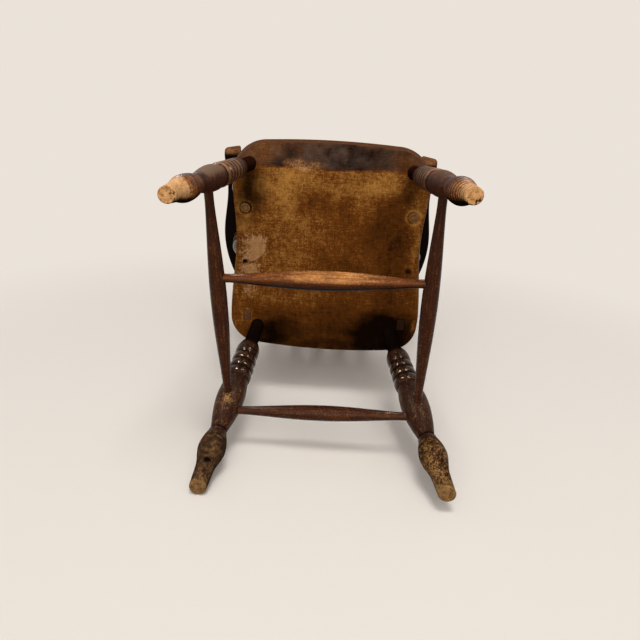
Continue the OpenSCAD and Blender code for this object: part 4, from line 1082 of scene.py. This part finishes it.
def add_support(side):
    a, b = support_ends(side)
    foot_r, vase_r = SUPPORT_TENON_R, 18.5
    vase_from, vase_mid, beads_from = 64, 112, 168
    rows = [[[0, foot_r * s] for s in (0.03, 0.3, 0.55, 0.75, 0.9)],
            [[0.1, foot_r - 0.7], [0.8, foot_r], [20, foot_r], [40, foot_r]],
            stretch(46, vase_from, lambda s: foot_r, 6),
            stretch(vase_from, vase_mid, lambda s: swell(foot_r, vase_r, s), 30),
            stretch(vase_mid, beads_from, lambda s: mix(vase_r, STEM_R, ease(s)), 30)]
    rows += upper_rows(np.linalg.norm(b - a), beads_from, 11, 5.5)
    piece, h, ridge, away = turned("arm_support_" + side_name(side), "turned_wood", a, b, np.vstack(rows),
                                   81 + side, sides=64, flat_end=12)
    p = places(piece)
    tip = 1 - ease((h - 0.5) / 2)
    ring = np.exp(-((np.hypot(*(p - a)[:, :2].T) - 5.5) / 1.2) ** 2) * tip
    paint(piece, light=0.4 + 0.08 * ridge + 0.3 * (cloud(p, 26, 83) - 0.5) + 0.45 * tip,
          smoke=0.3 - 0.12 * ridge - 0.2 * tip + 0.5 * ring, bare=0.1 + 0.06 * ridge + 0.1 * tip)


def add_spindle(side):
    a, b = spindle_ends(side)
    foot_r, vase_r = SPINDLE_HOLE_R - FIT, 17.5
    short, foot_to, vase_from, vase_mid, beads_from = 14, 58, 78, 128, 176
    rows = [[[short, 0.2], [short, 4.4], [short + 0.7, foot_r], [40, foot_r]],
            stretch(46, foot_to, lambda s: foot_r, 6),
            stretch(foot_to, vase_from, lambda s: mix(foot_r, STEM_R, ease(s)), 14),
            stretch(vase_from, vase_mid, lambda s: swell(STEM_R, vase_r, s), 30),
            stretch(vase_mid, beads_from, lambda s: swell(STEM_R, vase_r, 1 - s), 30)]
    rows += upper_rows(np.linalg.norm(b - a), beads_from, 9, 4.5)
    piece, h, ridge, away = turned("arm_spindle_" + side_name(side), "turned_wood", a, b, np.vstack(rows),
                                   85 + side, sides=64)
    paint(piece, light=0.42 + 0.08 * ridge + 0.3 * (cloud(places(piece), 26, 87) - 0.5),
          smoke=0.28 - 0.12 * ridge, bare=0.12 + 0.06 * ridge)


# Arms

def round_rise(radius, gap):
    return radius - math.sqrt(radius ** 2 - (radius - gap) ** 2) if gap < radius else 0


def arm_ring(side, y):
    """A section of the arm; sections near the nose are turned, and those near the post lean with it."""
    gap = y - ARM_FRONT_Y
    low = ARM_UNDER + round_rise(ARM_NOSE_R, gap)
    high = ARM_TOP - round_rise(ARM_EDGE_R, gap)
    x = side * (arm_outer(y) - arm_width(y) / 2) + UPPER_LEAN
    w = arm_width(y) - 2 * round_rise(ARM_CORNER_R, gap)
    yaw = math.tan(math.radians(ARM_END_TURN)) * (1 - ease(gap / ARM_TURN_LEN))
    joint = ease(1 - (ARM_JOINT_Y - y) / ARM_TURN_LEN)
    slope = (post_front_y(ARM_TOP) - post_front_y(ARM_UNDER)) / ARM_THICK
    q = rounded(6)
    z = mix(low, high, (q[:, 1] + 1) / 2)
    return np.column_stack([x - q[:, 0] * w / 2,
                            y - side * q[:, 0] * w / 2 * yaw + joint * slope * (z - ARM_MID), z])


def add_arm(side):
    node = "arm_" + side_name(side)
    nose = [ARM_FRONT_Y + ARM_NOSE_R * s * s for s in np.linspace(0, 1, 14, endpoint=False)]
    rest = list(np.linspace(ARM_FRONT_Y + ARM_NOSE_R, ARM_JOINT_Y, 90))
    rings = [arm_ring(side, y) for y in nose + rest]
    joint = np.array([post_centre(side, ARM_MID)[0], ARM_JOINT_Y, ARM_MID])
    turn = turns(40)
    tenon = ARM_TENON_R * np.column_stack([-np.cos(turn), 0 * turn, np.sin(turn)])
    rings += [tenon + joint, tenon + joint + [0, ARM_TENON_LEN - FIT, 0]]
    arm = lofted(node + "_board", node, "arm_wood", rings)
    p = places(arm)
    patchy = cloud(p, 40, 90 + side)
    nose_end = 1 - ease((p[:, 1] - ARM_FRONT_Y - 6) / 22)
    top = ease((p[:, 2] - ARM_TOP + 8) / 8)
    grip = top * (1 - ease((p[:, 1] - 20) / 60))
    low = ease((ARM_UNDER + 5 - p[:, 2]) / 6)
    # The arm's sides and underside are painted dark as painted shade, darkest low down; its front end is
    # lighter, partly wear and partly painted light where the lamps fall on it, and its top is lighter from
    # hands
    light = 0.4 + 0.3 * (patchy - 0.5) + 0.24 * nose_end + 0.2 * grip
    smoke = 0.25 + (0.8 + 0.3 * low) * (1 - nose_end) * (1 - top) + 0.2 * (patchy - 0.5) - 0.15 * nose_end
    paint(arm, light=light, smoke=smoke, bare=0.08 + 0.22 * grip + 0.06 * nose_end, dull=nose_end)


# Back

def upright_ring(centre, width, depth, tilt, shape):
    y = shape[:, 1] * depth / 2
    return np.column_stack([centre[0] + shape[:, 0] * width / 2, centre[1] + y * math.cos(tilt),
                            centre[2] - y * math.sin(tilt)])


def head_rings(centre, low, high, width, depth, shape):
    """Two rings of a tenon in the crest rail, or of its mortise."""
    return [upright_ring(centre + up * CREST_UP, width, depth, CREST_TILT, shape) for up in (low, high)]


def add_post(side):
    node = "back_post_" + side_name(side)
    shape, square = rounded(4), rounded(14)
    w, d = POST_TENON_W, POST_TENON_D
    # The tenon's lower end has a small arris
    tenon = ((SEAT_UNDER, w - 0.6, d - 0.6), (SEAT_UNDER + 0.5, w, d), (SEAT_TOP - 0.2, w, d))
    rings = [upright_ring(post_centre(side, z), wide, deep, 0, square) for z, wide, deep in tenon]
    for z in np.linspace(SEAT_TOP + FIT, CREST_Z - FIT, 80):
        rings.append(upright_ring(post_centre(side, z), mix(POST_W, POST_TOP_W, post_share(z)),
                                  post_depth(z), post_tilt(z), shape))
    rings += head_rings(post_centre(side, CREST_Z), 0, POST_HEAD_LEN, POST_HEAD_W, POST_HEAD_D, square)
    post = lofted(node + "_bent", node, "back_wood", rings)
    p = places(post)
    front = ease((post_line(p[:, 2]) - p[:, 1]) / 12)
    tip = ease(SEAT_UNDER + 1 - p[:, 2])
    tip_light, tip_smoke = (0, 0.36) if side == LEFT else (0.24, 0.05)
    paint(post, light=0.38 + 0.35 * (cloud(p, 40, 95 + side) - 0.5) + 0.15 * front + tip_light * tip,
          smoke=0.25 + 0.3 * (cloud(p, 60, 97) - 0.5) + tip_smoke * tip,
          bare=0.12 + 0.14 * front - 0.2 * tip)


def post_line(z):
    """Places y of the posts' middle line at heights z."""
    heights = np.linspace(SEAT_UNDER, CREST_Z, 60)
    return np.interp(z, heights, [post_y(h) for h in heights])


def add_lath(i):
    node = "lath_%d" % (i + 3)
    shape, square = rounded(5), rounded(14)
    foot = lath_centre(i, SEAT_TOP)
    run = np.array([0, POST_SLOPE, 1])
    rings = [upright_ring(foot - down * run, LATH_FOOT_W, LATH_TENON_T, 0, square)
             for down in (LATH_TENON_LEN, 0.2)]
    for z in np.linspace(SEAT_TOP + FIT, CREST_Z - FIT, 80):
        rings.append(upright_ring(lath_centre(i, z), mix(LATH_W, LATH_TOP_W, post_share(z)), LATH_T,
                                  post_tilt(z), shape))
    rings += head_rings(lath_centre(i, CREST_Z), 0, LATH_TENON_LEN, LATH_HEAD_W, LATH_TENON_T, square)
    lath = lofted(node + "_bent", node, "back_wood", rings)
    p = places(lath)
    patchy = cloud(p, 45, 101 + i)
    height = np.clip((p[:, 2] - SEAT_TOP) / BACK_RISE, 0, 1)
    leaned = np.exp(-((height - 0.55) / 0.2) ** 2)
    paint(lath, light=0.36 + 0.35 * (patchy - 0.5) + 0.2 * leaned,
          smoke=0.28 + 0.3 * (patchy - 0.5) + 0.25 * ease(1 - height * 8), bare=0.1 + 0.18 * leaned)


def crest_ring(u):
    q = rounded(5, 56)
    x = u * CREST_HALF
    low = CREST_CORNER * abs(u) ** 20
    high = CREST_H * (1 - CREST_ARCH * u * u) * (1 - abs(u) ** 14) ** 0.35
    middle = np.array([x + UPPER_LEAN, post_y(CREST_Z) + crest_behind(x), CREST_Z])
    return (middle + (q[:, 0] * CREST_T / 2)[:, None] * CREST_BACK
            + mix(low, high, (q[:, 1] + 1) / 2)[:, None] * CREST_UP)


def add_crest():
    reach = math.radians(86)
    rings = [crest_ring(math.sin(a)) for a in np.linspace(-reach, reach, 90)]
    rail = lofted("crest_rail_bent", "crest_rail", "back_wood", rings, wood="rail_wood")
    square = np.array([[1, -1], [1, 1], [-1, 1], [-1, -1]])
    tenons = [(post_centre(side, CREST_Z), POST_HEAD_LEN, POST_HEAD_W, POST_HEAD_D)
              for side in (LEFT, RIGHT)]
    tenons += [(lath_centre(i, CREST_Z), LATH_TENON_LEN, LATH_HEAD_W, LATH_TENON_T) for i in LATHS]
    cut(rail, [cutter(head_rings(middle, -PAST, length + FIT, width + 2 * FIT, depth + 2 * FIT, square))
               for middle, length, width, depth in tenons])
    p = places(rail)
    up = (p - [0, post_y(CREST_Z), CREST_Z]) @ CREST_UP
    patchy = cloud(p, 50, 111)
    edge = ease((up - CREST_H + 22) / 16) * (1 - np.abs(p[:, 0] - UPPER_LEAN) / CREST_HALF * 0.7)
    hand = blob(p, (UPPER_LEAN, p[:, 1].mean()), (110, 200), 1.0) * ease((up - 30) / 40)
    paint(rail, light=0.38 + 0.35 * (patchy - 0.5) + 0.25 * hand,
          smoke=0.3 + 0.3 * (patchy - 0.5) - 0.15 * edge, bare=0.08 + 0.28 * edge + 0.1 * hand)


def peg_rings(a, out, length):
    """Rings of a peg whose domed head lies at a, and which runs in from there."""
    axes = axes_along(a, a - out)
    turn = turns(24)[:, None]
    rows = [(-0.55, 0.3), (-0.5, 1.6), (-0.3, 2.5), (0.1, 2.92), (0.6, PEG_R), (length, PEG_R)]
    return [a + h * axes[2] + r * (np.cos(turn) * axes[0] + np.sin(turn) * axes[1]) for h, r in rows]


def add_pegs(node, pegs):
    points, faces = [], []
    for a, out, length in pegs:
        rings = peg_rings(a, out, length)
        faces += [tuple(i + len(points) for i in face) for face in tube_faces(len(rings), len(rings[0]))]
        points += list(np.vstack(rings))
    piece = make(node + "_turned", node, "peg_wood", points, faces)
    p = places(piece)
    even = np.ones(len(p))
    paint(piece, light=0.5 + 0.3 * (cloud(p, 8, 121) - 0.5), smoke=0.2 * even, bare=0.15 * even)


def add_all_pegs():
    crest, arm = [], []
    half_post = 12
    for side in (LEFT, RIGHT):
        head = post_centre(side, CREST_Z) + POST_HEAD_LEN / 2 * CREST_UP + (CREST_T / 2 - 0.5) * CREST_BACK
        crest.append((head, CREST_BACK, CREST_PEG_LEN))
        x = post_centre(side, ARM_MID)[0] + side * half_post
        head = np.array([x, ARM_JOINT_Y + ARM_TENON_LEN / 2, ARM_MID])
        arm.append((head, np.array([side, 0, 0]), ARM_PEG_LEN))
    add_pegs("crest_pegs", crest)
    add_pegs("arm_pegs", arm)


# Camera, floor and lights

def backdrop_material(name, colour, near, far):
    """A dull sheet seen from its front only, which is lit within near millimetres of the chair's
    middle and shows the same plain cream as the world beyond far."""
    material = bpy.data.materials.new(name)
    t = Tree(material)
    t.put(srgb(*colour), t.shader.inputs["Base Color"])
    t.put(0.9, t.shader.inputs["Roughness"])
    t.put(0.0, t.shader.inputs["Specular IOR Level"])
    geometry = t.add("ShaderNodeNewGeometry").outputs
    gap = t.add("ShaderNodeVectorMath", {0: geometry["Position"], 1: chair((20, 200, 350))},
                operation="DISTANCE").outputs["Value"]
    plain = t.add("ShaderNodeEmission", {"Color": srgb(*CREAM)}).outputs[0]
    lit = t.mix_shader(t.band(gap, near / 1000, far / 1000), t.shader.outputs[0], plain)
    clear = t.add("ShaderNodeBsdfTransparent").outputs[0]
    both = t.mix_shader(geometry["Backfacing"], lit, clear)
    t.put(both, t.tree.nodes["Material Output"].inputs["Surface"])
    return material


def add_sheet(name, corners, material):
    """A flat piece of the stage, which only the camera sees."""
    mesh = bpy.data.meshes.new(name)
    mesh.from_pydata([chair(c) for c in corners], [], [(0, 1, 2, 3)])
    mesh.materials.append(material)
    sheet = link(name, mesh)
    sheet.visible_shadow = sheet.visible_diffuse = sheet.visible_glossy = False


def add_stage():
    """The sheet behind the chair, which its back feet and its crest rail touch, and the floor that it
    stands on. Both are seen from their front only, so no view is shut out."""
    wide, low, high, lie, tilt = 12000, -3000, 30000, 319.5, 0.038
    add_sheet("backdrop", [(-wide, lie + tilt * low, low), (wide, lie + tilt * low, low),
                           (wide, lie + tilt * high, high), (-wide, lie + tilt * high, high)],
              backdrop_material("lit_cream", (242, 234, 225), 700, 1500))
    # The floor lies a hair below the feet, so that their ends don't lie in its own plane
    down = -0.2
    add_sheet("floor", [(-wide, -wide, down), (wide, -wide, down), (wide, wide, down), (-wide, wide, down)],
              backdrop_material("lit_floor", (240, 231, 222), 900, 2600))


def add_camera():
    """The camera that took the photograph, solved from the places of the chair's joints in it."""
    turn = Vector((0.39727, 0.04749, 0.05839))
    place, focal, image = (42.028, -406.934, -908.327), 649.996, 640
    to_camera = Matrix.Rotation(turn.length, 3, turn)
    data = bpy.data.cameras.new("camera")
    data.sensor_width = 36
    data.lens = focal * data.sensor_width / image
    data.clip_end = 50
    camera = link("camera", data)
    rows = Matrix((to_camera[0], -to_camera[1], -to_camera[2])).transposed()
    camera.matrix_world = Matrix.Translation(chair(place)) @ rows.to_4x4()
    bpy.context.scene.camera = camera


def add_sun(name, travels, strength, spread, colour=(1, 1, 1)):
    data = bpy.data.lights.new(name, "SUN")
    data.energy = strength
    data.angle = math.radians(spread)
    data.color = colour
    sun = link(name, data)
    sun.rotation_euler = Vector(travels).to_track_quat("-Z", "Y").to_euler()
    return sun


def add_lamp(name, place, power, size):
    data = bpy.data.lights.new(name, "AREA")
    data.shape = "DISK"
    data.energy = power
    data.size = size
    lamp = link(name, data)
    lamp.location = chair(place)
    lamp.rotation_euler = (chair((0, 200, 280)) - lamp.location).to_track_quat("-Z", "Y").to_euler()
    return lamp


def add_world():
    """Dim light from all round; the camera and polished wood see plain cream instead."""
    world = bpy.context.scene.world or bpy.data.worlds.new("world")
    bpy.context.scene.world = world
    t = Tree(world)
    t.tree.nodes.clear()
    rays = t.add("ShaderNodeLightPath").outputs
    seen = t.math("MAXIMUM", rays["Is Camera Ray"], rays["Is Glossy Ray"])
    seen = t.math("MAXIMUM", seen, rays["Is Transmission Ray"])
    light = t.add("ShaderNodeBackground", {"Color": (1, 0.985, 0.97, 1), "Strength": 0.27}).outputs[0]
    view = t.add("ShaderNodeBackground", {"Color": srgb(*CREAM), "Strength": 1}).outputs[0]
    t.add("ShaderNodeOutputWorld", {"Surface": t.mix_shader(seen, light, view)})


def add_lights():
    add_lamp("key", (222, -3500, -842), 58, 1.3).visible_glossy = False
    add_sun("soft", (-0.04, 1, 1.1), 1.2, 55, (1.0, 0.98, 0.95))
    add_sun("fill", (0.06, 0.25, 0.95), 1.0, 50)
    add_sun("above", (0.35, -0.35, -0.85), 2.3, 40).visible_glossy = False
    # Two small lamps that only polished wood reflects; their light on dull surfaces is in the suns
    add_lamp("lamp_left", (284, -552, 394), 4, 0.07).visible_diffuse = False
    add_lamp("lamp_right", (-380, -486, 362), 5, 0.07).visible_diffuse = False


add_camera()
add_stage()
add_lights()
add_world()
add_seat()
for side in (LEFT, RIGHT):
    for rear in (False, True):
        add_leg(side, rear)
    add_support(side)
    add_spindle(side)
    add_arm(side)
    add_post(side)
add_stretchers()
for i in LATHS:
    add_lath(i)
add_crest()
add_all_pegs()
bpy.context.scene.view_settings.view_transform = "Standard"
bpy.context.view_layer.update()
